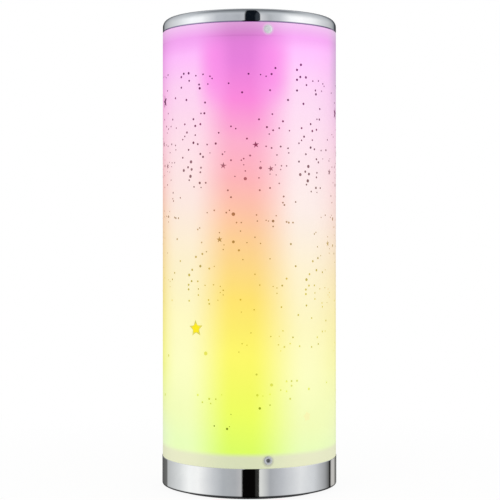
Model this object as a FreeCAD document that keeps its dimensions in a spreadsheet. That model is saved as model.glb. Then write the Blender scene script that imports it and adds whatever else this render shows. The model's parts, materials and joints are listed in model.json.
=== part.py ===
import FreeCAD, Part
import math
import os
import re

import Sketcher

# Free-standing LED table lamp: a satin tube, lit from inside, between a chromed base and a chromed cap.
# Lengths are in millimetres and angles in degrees. The origin is on the table under the lamp's axis, +Z is up,
# the front faces -Y, and the inlet and the button are at the back, towards +Y.

SIZES = {
    # Outline of the lamp
    "overall_height": 320.0,
    "metal_radius": 60.0,
    "base_top": 20.8,
    "base_round": 0.3,
    "rim_gap": 1.7,
    "rim_round": 0.7,
    "cap_radius": 59.7,
    "cap_height": 9.3,
    "cap_round": 5.1,
    "sheet_wall": 1.0,
    # Foot ring, base plate and the pillars that carry the plate
    "foot_height": 2.2,
    "foot_outer": 54.0,
    "foot_inner": 46.0,
    "foot_edge": 0.4,
    "plate_wall": 2.0,
    "plate_gap": 0.5,
    "plate_screw_ring": 38.0,
    "plate_screw_turn": 30.0,
    "plate_screw_length": 8.0,
    "pillar_radius": 3.5,
    "pillar_bore_depth": 9.0,
    # Ballast disc, cut off behind to make room for the electronics
    "ballast_radius": 52.0,
    "ballast_height": 6.0,
    "ballast_back": 14.0,
    "ballast_play": 1.0,
    "ballast_screw_turn": 210.0,
    "ballast_screw_span": 120.0,
    "ballast_screw_length": 7.6,
    # Wire hole in the deck and its grommet
    "wire_hole_radius": 6.5,
    "grommet_flange": 8.2,
    "grommet_lip": 1.0,
    "grommet_bore": 4.0,
    # Satin tube and the rolled film inside it
    "tube_radius": 59.7,
    "tube_wall": 2.0,
    "tube_play": 0.1,
    "film_wall": 0.5,
    "film_end_gap": 0.3,
    "film_seam": 1.0,
    # Collars at both ends of the tube
    "collar_height": 8.7,
    "collar_wall": 3.0,
    "collar_edge": 0.4,
    "flange_wall": 2.5,
    "flange_inner": 46.0,
    "boss_ring": 50.0,
    "boss_radius": 3.6,
    "boss_bore_depth": 7.5,
    "collar_screw_length": 7.0,
    "bush_radius": 3.5,
    # Countersunk screws that hold the tube to the collars; one of each three shows at the front
    "shade_screw_turn": 281.8,
    "shade_screw_height": 25.9,
    "shade_screw_drop": 13.8,
    "shade_screw_length": 6.0,
    "sink_radius": 2.8,
    "sink_play": 0.05,
    # Light post on its foot, turned so that its faces look between the front, the sides and the back
    "post_turn": 45.0,
    "post_side": 20.0,
    "post_wall": 1.2,
    "post_top": 296.0,
    "post_play": 0.1,
    "post_foot_side": 46.0,
    "post_foot_wall": 2.0,
    "post_foot_round": 4.0,
    "post_foot_hole": 8.4,
    "post_socket_wall": 2.9,
    "post_socket_height": 5.0,
    "post_screw_ring": 26.0,
    "post_screw_length": 6.0,
    "post_side_screw_height": 25.3,
    "nut_flats": 5.5,
    "nut_height": 2.4,
    "head_overhang": 1.0,
    "head_plate": 2.0,
    "head_plug_depth": 8.0,
    # Light strips and their chips
    "strip_width": 10.0,
    "strip_wall": 0.4,
    "strip_bottom": 33.0,
    "strip_top": 293.0,
    "chip_side": 5.0,
    "chip_height": 1.6,
    "chip_count": 15,
    "chip_pitch": 17.5,
    "chip_first": 40.5,
    # Wiring inside the post
    "lead_hole_height": 31.0,
    "lead_hole_radius": 1.5,
    "splice_radius": 2.2,
    "splice_length": 4.0,
    "lead_radius": 1.5,
    "lead_height": 12.8,
    "lead_bend": 8.0,
    "strip_lead_radius": 0.6,
    "strip_lead_bend": 1.5,
    "strip_lead_rise": 4.0,
    # Control board and what stands on it
    "board_width": 44.0,
    "board_front": 22.0,
    "board_depth": 31.0,
    "board_wall": 1.6,
    "board_lift": 2.0,
    "board_pillar_radius": 2.5,
    "board_hole_side": 18.5,
    "board_hole_front": 25.5,
    "board_hole_pitch": 12.5,
    "board_screw_length": 3.2,
    "connector_width": 10.0,
    "connector_front": 27.0,
    "connector_depth": 6.0,
    "connector_height": 7.0,
    "controller_width": 10.0,
    "controller_front": 36.0,
    "controller_depth": 4.0,
    "controller_height": 1.6,
    "capacitor_radius": 3.1,
    "capacitor_place": 47.0,
    "capacitor_height": 7.7,
    "capacitor_edge": 0.4,
    # Inlet and button in the back of the base
    "port_side": 12.0,
    "port_height": 12.8,
    "inlet_hole": 4.5,
    "socket_width": 9.0,
    "socket_depth": 13.0,
    "socket_height": 9.6,
    "socket_face": 56.2,
    "socket_bore": 3.15,
    "socket_bore_depth": 10.0,
    "pin_radius": 1.0,
    "pin_root_radius": 0.6,
    "pin_root_depth": 2.5,
    "pin_setback": 1.0,
    "pin_edge": 0.3,
    "button_hole": 4.3,
    "button_radius": 4.0,
    "button_edge": 0.5,
    "button_flange": 5.2,
    "button_flange_face": 56.1,
    "button_flange_back": 54.9,
    "switch_side": 8.0,
    "switch_depth": 7.0,
    "switch_height": 9.4,
    "switch_face": 52.5,
    "plunger_radius": 1.2,
    "plunger_play": 0.1,
    "plunger_length": 4.7,
    "plunger_bore_depth": 3.6,
    "spring_radius": 1.9,
    "spring_wire": 0.18,
    "spring_turns": 3,
    # Screws: machine screws, smaller ones for the board and larger ones for the ballast
    "screw_radius": 1.45,
    "screw_head": 2.8,
    "screw_head_height": 1.6,
    "screw_flats": 2.0,
    "small_radius": 1.2,
    "small_head": 2.2,
    "small_head_height": 1.4,
    "small_flats": 1.5,
    "large_radius": 1.95,
    "large_head": 3.8,
    "large_head_height": 2.2,
    "large_flats": 2.5,
    "recess_depth": 0.9,
    "bore_play": 0.05,
    "hole_play": 0.2,
}

# Heights and radii that several pieces share, as expressions of the sizes above
DECK_UNDER = "(base_top - sheet_wall)"
CAP_BOTTOM = "(overall_height - cap_height)"
CAP_UNDER = "(overall_height - sheet_wall)"
UPPER_COLLAR_BOTTOM = "(overall_height - cap_height - collar_height)"
UPPER_FLANGE_BOTTOM = "(overall_height - cap_height - flange_wall)"
UPPER_SCREW_HEIGHT = "(overall_height - shade_screw_drop)"
SHELL_INNER = "(metal_radius - sheet_wall)"
CAP_INNER = "(cap_radius - sheet_wall)"
TUBE_INNER = "(tube_radius - tube_wall)"
COLLAR_OUTER = "(tube_radius - tube_wall - tube_play)"
COLLAR_INNER = "(tube_radius - tube_wall - tube_play - collar_wall)"
PLATE_TOP = "(foot_height + plate_wall)"
BALLAST_TOP = "(foot_height + plate_wall + ballast_height)"
BOARD_BOTTOM = "(foot_height + plate_wall + board_lift)"
BOARD_TOP = "(foot_height + plate_wall + board_lift + board_wall)"
POST_BOTTOM = "(base_top + post_foot_wall)"
POST_FACE = "(post_side / 2)"
POST_INNER = "(post_side / 2 - post_wall)"
SOCKET_OUTER = "(post_side / 2 + post_play + post_socket_wall)"
SPLICE_BOTTOM = "(lead_hole_height - splice_length / 2)"

os.makedirs("parts", exist_ok=True)
doc = FreeCAD.newDocument("table_lamp")
sheet = doc.addObject("Spreadsheet::Sheet", "Sizes")
for row, (alias, number) in enumerate(SIZES.items(), start=1):
    sheet.set(f"A{row}", str(number))
    sheet.setAlias(f"A{row}", alias)
doc.recompute()

parts = []


def bound(expression):
    """The expression with each size written as its cell of the sheet."""
    return re.sub("[a-z_]+", lambda word: cell_of(word.group()), expression)


def cell_of(word):
    return f"Sizes.{word}" if word in SIZES else word


def size(alias):
    return sheet.get(alias)


def new_body(label, turn=None):
    """A body of its own for one node, turned about the lamp's axis where a turn is given."""
    body = doc.addObject("PartDesign::Body", label)
    body.Label = label
    body.AllowCompound = True
    if turn:
        body.Placement = FreeCAD.Placement(FreeCAD.Vector(), FreeCAD.Rotation(FreeCAD.Vector(0, 0, 1), 1))
        body.setExpression("Placement.Rotation.Angle", bound(turn))
    parts.append(body)
    return body


def origin_feature(body, role):
    return next(feature for feature in body.Origin.OriginFeatures if feature.Role == role)


def sketch_on(body, role, right="0", up="0", out="0"):
    """A sketch on one of the body's origin planes, its own origin moved right and up in it and out of it."""
    sketch = body.newObject("Sketcher::SketchObject", "sketch")
    sketch.AttachmentSupport = [(origin_feature(body, role), "")]
    sketch.MapMode = "FlatFace"
    for way, distance in zip("xyz", (right, up, out)):
        sketch.setExpression(f"AttachmentOffset.Base.{way}", bound(distance))
    return sketch


def constrain(sketch, constraint, expression):
    number = sketch.addConstraint(constraint)
    name = f"size_{number}"
    sketch.renameConstraint(number, name)
    sketch.setExpression(f"Constraints.{name}", bound(expression))


def outline(sketch, *corners):
    """A closed outline of straight lines. Its corners start on a loose ring, and the sizes carry them home."""
    first = sketch.GeometryCount
    count = len(corners)
    loose = []
    for k in range(count):
        angle = math.tau * (k + 0.3) / count
        loose.append(FreeCAD.Vector(math.cos(angle), math.sin(angle), 0))
    for k in range(count):
        sketch.addGeometry(Part.LineSegment(loose[k], loose[(k + 1) % count]), False)
    for k in range(count):
        sketch.addConstraint(Sketcher.Constraint("Coincident", first + k, 2, first + (k + 1) % count, 1))
    for k, (right, up) in enumerate(corners):
        constrain(sketch, Sketcher.Constraint("DistanceX", -1, 1, first + k, 1, loose[k].x), right)
        constrain(sketch, Sketcher.Constraint("DistanceY", -1, 1, first + k, 1, loose[k].y), up)


def rectangle(sketch, left, bottom, right, top):
    outline(sketch, (left, bottom), (right, bottom), (right, top), (left, top))


def square(sketch, half):
    rectangle(sketch, f"-({half})", f"-({half})", half, half)


def hexagon(sketch, flats, right="0", up="0"):
    half = f"{flats} / 2"
    low = f"{flats} / (2 * sqrt(3))"
    tip = f"{flats} / sqrt(3)"
    outline(
        sketch,
        (f"{right} + {half}", f"{up} - {low}"),
        (f"{right} + {half}", f"{up} + {low}"),
        (right, f"{up} + {tip}"),
        (f"{right} - {half}", f"{up} + {low}"),
        (f"{right} - {half}", f"{up} - {low}"),
        (right, f"{up} - {tip}"),
    )


def circle(sketch, radius, right="0", up="0"):
    number = sketch.addGeometry(Part.Circle(FreeCAD.Vector(1, 1, 0), FreeCAD.Vector(0, 0, 1), 1), False)
    constrain(sketch, Sketcher.Constraint("DistanceX", -1, 1, number, 3, 1.0), right)
    constrain(sketch, Sketcher.Constraint("DistanceY", -1, 1, number, 3, 1.0), up)
    constrain(sketch, Sketcher.Constraint("Radius", number, 1.0), radius)


def pull(body, kind, sketch, length, reverse=False):
    feature = body.newObject(f"PartDesign::{kind}", kind.lower())
    feature.Profile = sketch
    feature.Reversed = reverse
    feature.setExpression("Length", bound(length))
    return feature


def pad(body, sketch, length, reverse=False):
    return pull(body, "Pad", sketch, length, reverse)


def pocket(body, sketch, depth, reverse=False):
    return pull(body, "Pocket", sketch, depth, reverse)


def turned(body, kind, sketch, axis="V_Axis"):
    """A full turn of the sketch about its own upright or level axis, as a Revolution or a Groove."""
    feature = body.newObject(f"PartDesign::{kind}", kind.lower())
    feature.Profile = sketch
    feature.ReferenceAxis = (sketch, [axis])
    feature.Angle = 360
    return feature


def around(body, features, count, span=None):
    """The features repeated about the lamp's axis, over a full turn or a span."""
    pattern = body.newObject("PartDesign::PolarPattern", "around")
    pattern.Originals = features
    pattern.Axis = (origin_feature(body, "Z_Axis"), [""])
    pattern.Angle = 360
    if span:
        pattern.setExpression("Angle", bound(span))
    pattern.Occurrences = count
    body.Tip = pattern
    return pattern


def rounded(body, kind, feature, names, expression):
    """A Fillet or a Chamfer on the named edges."""
    edge = body.newObject(f"PartDesign::{kind}", kind.lower())
    edge.Base = (feature, names)
    edge.setExpression("Radius" if kind == "Fillet" else "Size", bound(expression))
    return edge


def edge_names(feature, wanted):
    doc.recompute()
    return [f"Edge{n}" for n, edge in enumerate(feature.Shape.Edges, start=1) if wanted(edge)]


def rims(feature, radius, height):
    """The circular edges of this radius at this height."""

    def wanted(edge):
        curve = edge.Curve
        return (
            isinstance(curve, Part.Circle)
            and abs(curve.Radius - radius) < 0.01
            and abs(curve.Center.z - height) < 0.01
        )

    return edge_names(feature, wanted)


def on_ring(ring, turn):
    return f"{ring} * cos({turn})", f"{ring} * sin({turn})"


def holes_around(body, radius, ring, turn, top, depth, count, span=None):
    """Upright holes sunk from a height, spaced evenly on a ring."""
    sketch = sketch_on(body, "XY_Plane", out=top)
    right, up = on_ring(ring, turn)
    circle(sketch, radius, right, up)
    return around(body, [pocket(body, sketch, depth)], count, span)


def upright_screws(label, kind, seat, length, ring, turn, count, span=None, head_up=True):
    """Domed screws with a hexagonal recess on a ring, their heads seated at a height, above or below it."""
    body = new_body(label, turn)
    sign = "" if head_up else "-"
    shoulder = 0.45
    crown = 0.62
    profile = sketch_on(body, "XZ_Plane", right=ring, up=seat)
    outline(
        profile,
        ("0", f"{sign}{kind}_head_height"),
        (f"{kind}_head * {crown}", f"{sign}{kind}_head_height"),
        (f"{kind}_head", f"{sign}{kind}_head_height * {shoulder}"),
        (f"{kind}_head", "0"),
        (f"{kind}_radius", "0"),
        (f"{kind}_radius", f"-({sign}({length}))"),
        ("0", f"-({sign}({length}))"),
    )
    screw = turned(body, "Revolution", profile)
    recess = sketch_on(body, "XY_Plane", right=ring, out=f"{seat} + {sign}{kind}_head_height")
    hexagon(recess, f"{kind}_flats")
    around(body, [screw, pocket(body, recess, "recess_depth", reverse=not head_up)], count, span)


def disc(body, radius, bottom, height):
    sketch = sketch_on(body, "XY_Plane", out=bottom)
    circle(sketch, radius)
    return pad(body, sketch, height)


def foot_ring():
    body = new_body("foot_ring")
    sketch = sketch_on(body, "XY_Plane")
    circle(sketch, "foot_outer")
    circle(sketch, "foot_inner")
    ring = pad(body, sketch, "foot_height")
    rounded(body, "Chamfer", ring, rims(ring, size("foot_outer"), 0.0), "foot_edge")


def base_plate():
    body = new_body("base_plate")
    disc(body, f"{SHELL_INNER} - plate_gap", "foot_height", "plate_wall")
    holes_around(
        body, "screw_radius + hole_play", "plate_screw_ring", "plate_screw_turn", PLATE_TOP, "plate_wall + 1", 3
    )
    holes_around(
        body,
        "large_radius + bore_play",
        "plate_screw_ring",
        "ballast_screw_turn",
        PLATE_TOP,
        "plate_wall + 1",
        2,
        "ballast_screw_span",
    )


def ballast_disc():
    body = new_body("ballast_disc")
    disc(body, "ballast_radius", PLATE_TOP, "ballast_height")
    back = sketch_on(body, "XY_Plane", out=BALLAST_TOP)
    rectangle(back, "-metal_radius", "ballast_back", "metal_radius", "metal_radius")
    pocket(body, back, "ballast_height + 1")
    front = sketch_on(body, "XY_Plane", out=BALLAST_TOP)
    circle(front, "pillar_radius + ballast_play", "0", "-plate_screw_ring")
    pocket(body, front, "ballast_height + 1")
    holes_around(
        body,
        "large_radius + hole_play",
        "plate_screw_ring",
        "ballast_screw_turn",
        BALLAST_TOP,
        "ballast_height + 1",
        2,
        "ballast_screw_span",
    )


def plate_pillars():
    body = new_body("plate_pillars", "plate_screw_turn")
    profile = sketch_on(body, "XZ_Plane", right="plate_screw_ring")
    bore = "(screw_radius + bore_play)"
    outline(
        profile,
        (bore, PLATE_TOP),
        ("pillar_radius", PLATE_TOP),
        ("pillar_radius", DECK_UNDER),
        ("0", DECK_UNDER),
        ("0", f"{PLATE_TOP} + pillar_bore_depth"),
        (bore, f"{PLATE_TOP} + pillar_bore_depth"),
    )
    around(body, [turned(body, "Revolution", profile)], 3)


def base_shell():
    """Drawn cup: the wall that shows, and the deck that carries the tube, the collar and the post."""
    body = new_body("base_shell")
    profile = sketch_on(body, "XZ_Plane")
    outline(
        profile,
        (SHELL_INNER, "rim_gap"),
        ("metal_radius", "rim_gap"),
        ("metal_radius", "base_top"),
        ("wire_hole_radius", "base_top"),
        ("wire_hole_radius", DECK_UNDER),
        (SHELL_INNER, DECK_UNDER),
    )
    cup = turned(body, "Revolution", profile)
    top = rounded(body, "Fillet", cup, rims(cup, size("metal_radius"), size("base_top")), "base_round")
    rounded(body, "Fillet", top, rims(top, size("metal_radius"), size("rim_gap")), "rim_round")
    deep = "sheet_wall + 1"
    clearance = "screw_radius + hole_play"
    holes_around(body, clearance, "post_screw_ring", "0", "base_top", deep, 4)
    holes_around(body, clearance, "boss_ring", "shade_screw_turn + 180", "base_top", deep, 3)
    ports = sketch_on(body, "XZ_Plane")
    circle(ports, "inlet_hole", "-port_side", "port_height")
    circle(ports, "button_hole", "port_side", "port_height")
    pocket(body, ports, "metal_radius + 1")


def deck_grommet():
    body = new_body("deck_grommet")
    profile = sketch_on(body, "XZ_Plane")
    outline(
        profile,
        ("grommet_bore", f"{DECK_UNDER} - grommet_lip"),
        ("grommet_flange", f"{DECK_UNDER} - grommet_lip"),
        ("grommet_flange", DECK_UNDER),
        ("wire_hole_radius", DECK_UNDER),
        ("wire_hole_radius", "base_top"),
        ("grommet_flange", "base_top"),
        ("grommet_flange", "base_top + grommet_lip"),
        ("grommet_bore", "base_top + grommet_lip"),
    )
    turned(body, "Revolution", profile)


def side_holes(body, height, radius, outside, depth, count):
    """Level holes bored in from outside, the first on the body's own +X side."""
    sketch = sketch_on(body, "YZ_Plane", out=outside)
    circle(sketch, radius, "0", height)
    return around(body, [pocket(body, sketch, depth)], count)


def lower_collar():
    """Plastic ring inside the tube's foot, with bosses that take the screws through the deck."""
    body = new_body("lower_collar", "shade_screw_turn")
    top = "base_top + collar_height"
    profile = sketch_on(body, "XZ_Plane")
    outline(
        profile,
        ("flange_inner", "base_top"),
        (COLLAR_OUTER, "base_top"),
        (COLLAR_OUTER, f"{top} - collar_edge"),
        (f"{COLLAR_OUTER} - collar_edge", top),
        (COLLAR_INNER, top),
        (COLLAR_INNER, "base_top + flange_wall"),
        ("flange_inner", "base_top + flange_wall"),
    )
    turned(body, "Revolution", profile)
    boss = sketch_on(body, "XY_Plane", out="base_top")
    circle(boss, "boss_radius", "-boss_ring", "0")
    around(body, [pad(body, boss, "collar_height")], 3)
    bore = sketch_on(body, "XY_Plane", out="base_top")
    circle(bore, "screw_radius + bore_play", "-boss_ring", "0")
    around(body, [pocket(body, bore, "boss_bore_depth", reverse=True)], 3)
    side_holes(
        body, "shade_screw_height", "screw_radius + bore_play", f"{COLLAR_OUTER} + 1", "collar_wall + 2", 3
    )


def upper_collar():
    """Plastic ring inside the tube's head, with a flange that is screwed up to the cap's bushes."""
    body = new_body("upper_collar", "shade_screw_turn")
    profile = sketch_on(body, "XZ_Plane")
    outline(
        profile,
        (COLLAR_INNER, UPPER_COLLAR_BOTTOM),
        (f"{COLLAR_OUTER} - collar_edge", UPPER_COLLAR_BOTTOM),
        (COLLAR_OUTER, f"{UPPER_COLLAR_BOTTOM} + collar_edge"),
        (COLLAR_OUTER, CAP_BOTTOM),
        ("flange_inner", CAP_BOTTOM),
        ("flange_inner", UPPER_FLANGE_BOTTOM),
        (COLLAR_INNER, UPPER_FLANGE_BOTTOM),
    )
    turned(body, "Revolution", profile)
    hole = sketch_on(body, "XY_Plane", out=CAP_BOTTOM)
    circle(hole, "screw_radius + hole_play", "-boss_ring", "0")
    around(body, [pocket(body, hole, "flange_wall + 1")], 3)
    side_holes(
        body, UPPER_SCREW_HEIGHT, "screw_radius + bore_play", f"{COLLAR_OUTER} + 1", "collar_wall + 2", 3
    )


def cap_bushes():
    body = new_body("cap_bushes", "shade_screw_turn + 180")
    bore = "(screw_radius + bore_play)"
    profile = sketch_on(body, "XZ_Plane", right="boss_ring")
    outline(
        profile,
        (bore, CAP_BOTTOM),
        ("bush_radius", CAP_BOTTOM),
        ("bush_radius", CAP_UNDER),
        ("0", CAP_UNDER),
        ("0", f"{CAP_BOTTOM} + boss_bore_depth"),
        (bore, f"{CAP_BOTTOM} + boss_bore_depth"),
    )
    around(body, [turned(body, "Revolution", profile)], 3)


def top_cap():
    """Drawn cup, open below, with a rounded shoulder; its rim stands on the end of the tube."""
    body = new_body("top_cap")
    profile = sketch_on(body, "XZ_Plane")
    outline(
        profile,
        (CAP_INNER, CAP_BOTTOM),
        ("cap_radius", CAP_BOTTOM),
        ("cap_radius", "overall_height"),
        ("0", "overall_height"),
        ("0", CAP_UNDER),
        (CAP_INNER, CAP_UNDER),
    )
    cup = turned(body, "Revolution", profile)
    outer = rims(cup, size("cap_radius"), size("overall_height"))
    shoulder = rounded(body, "Fillet", cup, outer, "cap_round")
    inner = rims(shoulder, size("cap_radius") - size("sheet_wall"), size("overall_height") - size("sheet_wall"))
    rounded(body, "Fillet", shoulder, inner, "cap_round - sheet_wall")


def sink_profile(sketch, face, face_radius, depth, radius):
    """Half the outline of a countersunk hole or screw: a cone from the face down to the shank, then the shank."""
    outline(
        sketch,
        (face, "0"),
        (face, face_radius),
        ("tube_radius - (sink_radius - screw_radius)", radius),
        (f"tube_radius - {depth}", radius),
        (f"tube_radius - {depth}", "0"),
    )


def shade_tube():
    """Satin tube from the deck to the cap's rim, with three countersunk holes into each collar."""
    body = new_body("shade_tube", "shade_screw_turn")
    ring = sketch_on(body, "XY_Plane", out="base_top")
    circle(ring, "tube_radius")
    circle(ring, TUBE_INNER)
    pad(body, ring, f"{CAP_BOTTOM} - base_top")
    sinks = []
    for height in ("shade_screw_height", UPPER_SCREW_HEIGHT):
        sketch = sketch_on(body, "XZ_Plane", up=height)
        # The cut runs 1 mm past the tube's faces, and its cone widens by as much.
        sink_profile(
            sketch, "tube_radius + 1", "sink_radius + sink_play + 1", "tube_wall - 1", "screw_radius + sink_play"
        )
        sinks.append(turned(body, "Groove", sketch, "H_Axis"))
    around(body, sinks, 3)


def shade_screws(label, height):
    """Countersunk screws, flush with the tube, with a hexagonal recess."""
    body = new_body(label, "shade_screw_turn")
    sketch = sketch_on(body, "XZ_Plane", up=height)
    sink_profile(sketch, "tube_radius", "sink_radius", "shade_screw_length", "screw_radius")
    screw = turned(body, "Revolution", sketch, "H_Axis")
    recess = sketch_on(body, "YZ_Plane", up=height, out="tube_radius")
    hexagon(recess, "screw_flats")
    around(body, [screw, pocket(body, recess, "recess_depth")], 3)


def diffuser_sleeve():
    """Film rolled into a sleeve against the inside of the tube, its seam at the back."""
    body = new_body("diffuser_sleeve")
    bottom = "base_top + collar_height + film_end_gap"
    sketch = sketch_on(body, "XY_Plane", out=bottom)
    circle(sketch, f"{TUBE_INNER} - tube_play")
    circle(sketch, f"{TUBE_INNER} - tube_play - film_wall")
    pad(body, sketch, f"{UPPER_COLLAR_BOTTOM} - film_end_gap - ({bottom})")
    seam = sketch_on(body, "XY_Plane", out=UPPER_COLLAR_BOTTOM)
    rectangle(seam, "-film_seam / 2", "0", "film_seam / 2", "metal_radius")
    pocket(body, seam, "overall_height")


def post_foot():
    """Square plate with a raised socket round the foot of the post."""
    body = new_body("post_foot", "post_turn")
    half = "post_foot_side / 2"
    plate = sketch_on(body, "XY_Plane", out="base_top")
    square(plate, half)
    slab = pad(body, plate, "post_foot_wall")
    reach = size("post_foot_side") / 2

    def upright_corner(edge):
        middle = edge.CenterOfMass
        return abs(abs(middle.x) - reach) < 0.01 and abs(abs(middle.y) - reach) < 0.01

    rounded(body, "Fillet", slab, edge_names(slab, upright_corner), "post_foot_round")
    socket = sketch_on(body, "XY_Plane", out=POST_BOTTOM)
    square(socket, SOCKET_OUTER)
    square(socket, f"{POST_FACE} + post_play")
    pad(body, socket, "post_socket_height")
    wire_hole = sketch_on(body, "XY_Plane", out=POST_BOTTOM)
    circle(wire_hole, "post_foot_hole")
    pocket(body, wire_hole, "post_foot_wall + 1")
    holes_around(
        body, "screw_radius + hole_play", "post_screw_ring", "45", POST_BOTTOM, "post_foot_wall + 1", 4
    )
    side_holes(
        body,
        "post_side_screw_height",
        "small_radius + bore_play",
        f"{SOCKET_OUTER} + 1",
        "post_socket_wall + post_play + 1",
        2,
    )


def post_foot_nuts():
    body = new_body("post_foot_nuts")
    sketch = sketch_on(body, "XY_Plane", out=DECK_UNDER)
    hexagon(sketch, "nut_flats", "post_screw_ring")
    circle(sketch, "screw_radius + bore_play", "post_screw_ring")
    around(body, [pad(body, sketch, "nut_height", reverse=True)], 4)


def post_side_screws():
    body = new_body("post_side_screws", "post_turn")
    profile = sketch_on(body, "XZ_Plane", up="post_side_screw_height")
    outer = f"{SOCKET_OUTER} + small_head_height"
    inner = f"{POST_INNER} - 1"
    outline(
        profile,
        (outer, "0"),
        (outer, "small_head"),
        (SOCKET_OUTER, "small_head"),
        (SOCKET_OUTER, "small_radius"),
        (inner, "small_radius"),
        (inner, "0"),
    )
    screw = turned(body, "Revolution", profile, "H_Axis")
    recess = sketch_on(body, "YZ_Plane", up="post_side_screw_height", out=outer)
    hexagon(recess, "small_flats")
    around(body, [screw, pocket(body, recess, "recess_depth")], 2)


def led_post():
    body = new_body("led_post", "post_turn")
    section = sketch_on(body, "XY_Plane", out=POST_BOTTOM)
    square(section, POST_FACE)
    square(section, POST_INNER)
    pad(body, section, f"post_top - {POST_BOTTOM}")
    side_holes(body, "lead_hole_height", "lead_hole_radius", f"{POST_FACE} + 1", "post_wall + 2", 4)
    side_holes(
        body, "post_side_screw_height", "small_radius + bore_play", f"{POST_FACE} + 1", "post_wall + 2", 2
    )


def post_head():
    body = new_body("post_head", "post_turn")
    plug = sketch_on(body, "XY_Plane", out="post_top")
    square(plug, f"{POST_INNER} - post_play")
    pad(body, plug, "head_plug_depth", reverse=True)
    plate = sketch_on(body, "XY_Plane", out="post_top")
    square(plate, f"{POST_FACE} + head_overhang")
    pad(body, plate, "head_plate")


def led_strips():
    """One strip on each face of the post, and fifteen chips on each strip."""
    for number in range(4):
        turn = f"post_turn + {90 * number}"
        strip = new_body(f"led_strip_{number + 1}", turn)
        sketch = sketch_on(strip, "YZ_Plane", out=POST_FACE)
        rectangle(sketch, "-strip_width / 2", "strip_bottom", "strip_width / 2", "strip_top")
        pad(strip, sketch, "strip_wall")
        chips = new_body(f"led_chips_{number + 1}", turn)
        sketch = sketch_on(chips, "YZ_Plane", up="chip_first", out=f"{POST_FACE} + strip_wall")
        square(sketch, "chip_side / 2")
        chip = pad(chips, sketch, "chip_height")
        row = chips.newObject("PartDesign::LinearPattern", "row")
        row.Originals = [chip]
        row.Direction = (origin_feature(chips, "Z_Axis"), [""])
        row.setExpression("Length", bound("chip_pitch * (chip_count - 1)"))
        row.setExpression("Occurrences", bound("chip_count"))
        chips.Tip = row


def swept(label, points, bends, radius):
    """A round wire along straight runs, with an arc of the given radius at each inner point."""
    edges = []
    start = points[0]
    for before, corner, after, bend in zip(points, points[1:], points[2:], bends):
        inward = (corner - before).normalize()
        outward = (after - corner).normalize()
        half_turn = inward.getAngle(outward) / 2
        reach = bend * math.tan(half_turn)
        arc_start = corner - inward * reach
        arc_end = corner + outward * reach
        to_centre = (outward - inward).normalize()
        arc_middle = corner + to_centre * (bend / math.cos(half_turn) - bend)
        edges.append(Part.LineSegment(start, arc_start).toShape())
        edges.append(Part.Arc(arc_start, arc_middle, arc_end).toShape())
        start = arc_end
    edges.append(Part.LineSegment(start, points[-1]).toShape())
    path = Part.Wire(edges)
    section = Part.Wire([Part.makeCircle(radius, points[0], points[1] - points[0])])
    solid = path.makePipeShell([section], True, False)
    expected = math.pi * radius**2 * path.Length
    print(f"{label}: {path.Length:.1f} mm long, volume {solid.Volume:.2f} of {expected:.2f} mm3, bends {bends}")
    return solid


def own_shape(label, shape, placement=None):
    """A node whose shape is worked out here, because no sketched feature gives it."""
    piece = doc.addObject("Part::Feature", label)
    piece.Label = label
    piece.Shape = shape
    piece.Placement = placement or FreeCAD.Placement()
    parts.append(piece)


def wiring():
    """The lead from the board up into the post, the splice on its end and the four strip leads."""
    height = size("lead_height")
    splice_bottom = size("lead_hole_height") - size("splice_length") / 2
    route = [
        FreeCAD.Vector(0, size("connector_front"), height),
        FreeCAD.Vector(0, 0, height),
        FreeCAD.Vector(0, 0, splice_bottom),
    ]
    own_shape("led_lead", swept("led_lead", route, [size("lead_bend")], size("lead_radius")))

    body = new_body("lead_splice")
    disc(body, "splice_radius", SPLICE_BOTTOM, "splice_length")

    level = size("lead_hole_height")
    over_strip = size("post_side") / 2 + size("strip_wall") + size("strip_lead_radius")
    route = [
        FreeCAD.Vector(size("splice_radius"), 0, level),
        FreeCAD.Vector(over_strip, 0, level),
        FreeCAD.Vector(over_strip, 0, level + size("strip_lead_rise")),
    ]
    lead = swept("strip_leads", route, [size("strip_lead_bend")], size("strip_lead_radius"))
    leads = []
    for number in range(4):
        copy = lead.copy()
        copy.rotate(FreeCAD.Vector(), FreeCAD.Vector(0, 0, 1), 90 * number)
        leads.append(copy)
    turn = FreeCAD.Rotation(FreeCAD.Vector(0, 0, 1), size("post_turn"))
    own_shape("strip_leads", Part.makeCompound(leads), FreeCAD.Placement(FreeCAD.Vector(), turn))


def board_places():
    """The board's four fixing holes."""
    back = "(board_hole_front + board_hole_pitch)"
    return [
        ("-board_hole_side", "board_hole_front"),
        ("board_hole_side", "board_hole_front"),
        ("-board_hole_side", back),
        ("board_hole_side", back),
    ]


def board_circles(body, radius, height):
    sketch = sketch_on(body, "XY_Plane", out=height)
    for right, up in board_places():
        circle(sketch, radius, right, up)
    return sketch


def control_board():
    body = new_body("control_board")
    sketch = sketch_on(body, "XY_Plane", out=BOARD_BOTTOM)
    rectangle(sketch, "-board_width / 2", "board_front", "board_width / 2", "board_front + board_depth")
    pad(body, sketch, "board_wall")
    pocket(body, board_circles(body, "small_radius + hole_play", BOARD_TOP), "board_wall + 1")


def board_pillars():
    body = new_body("board_pillars")
    pad(body, board_circles(body, "board_pillar_radius", PLATE_TOP), "board_lift")
    pocket(body, board_circles(body, "small_radius + bore_play", BOARD_BOTTOM), "board_lift + 1")


def board_screws():
    body = new_body("board_screws")
    pad(body, board_circles(body, "small_head", BOARD_TOP), "small_head_height")
    pad(body, board_circles(body, "small_radius", BOARD_TOP), "board_screw_length", reverse=True)
    recess = sketch_on(body, "XY_Plane", out=f"{BOARD_TOP} + small_head_height")
    for right, up in board_places():
        hexagon(recess, "small_flats", right, up)
    pocket(body, recess, "recess_depth")


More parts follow.
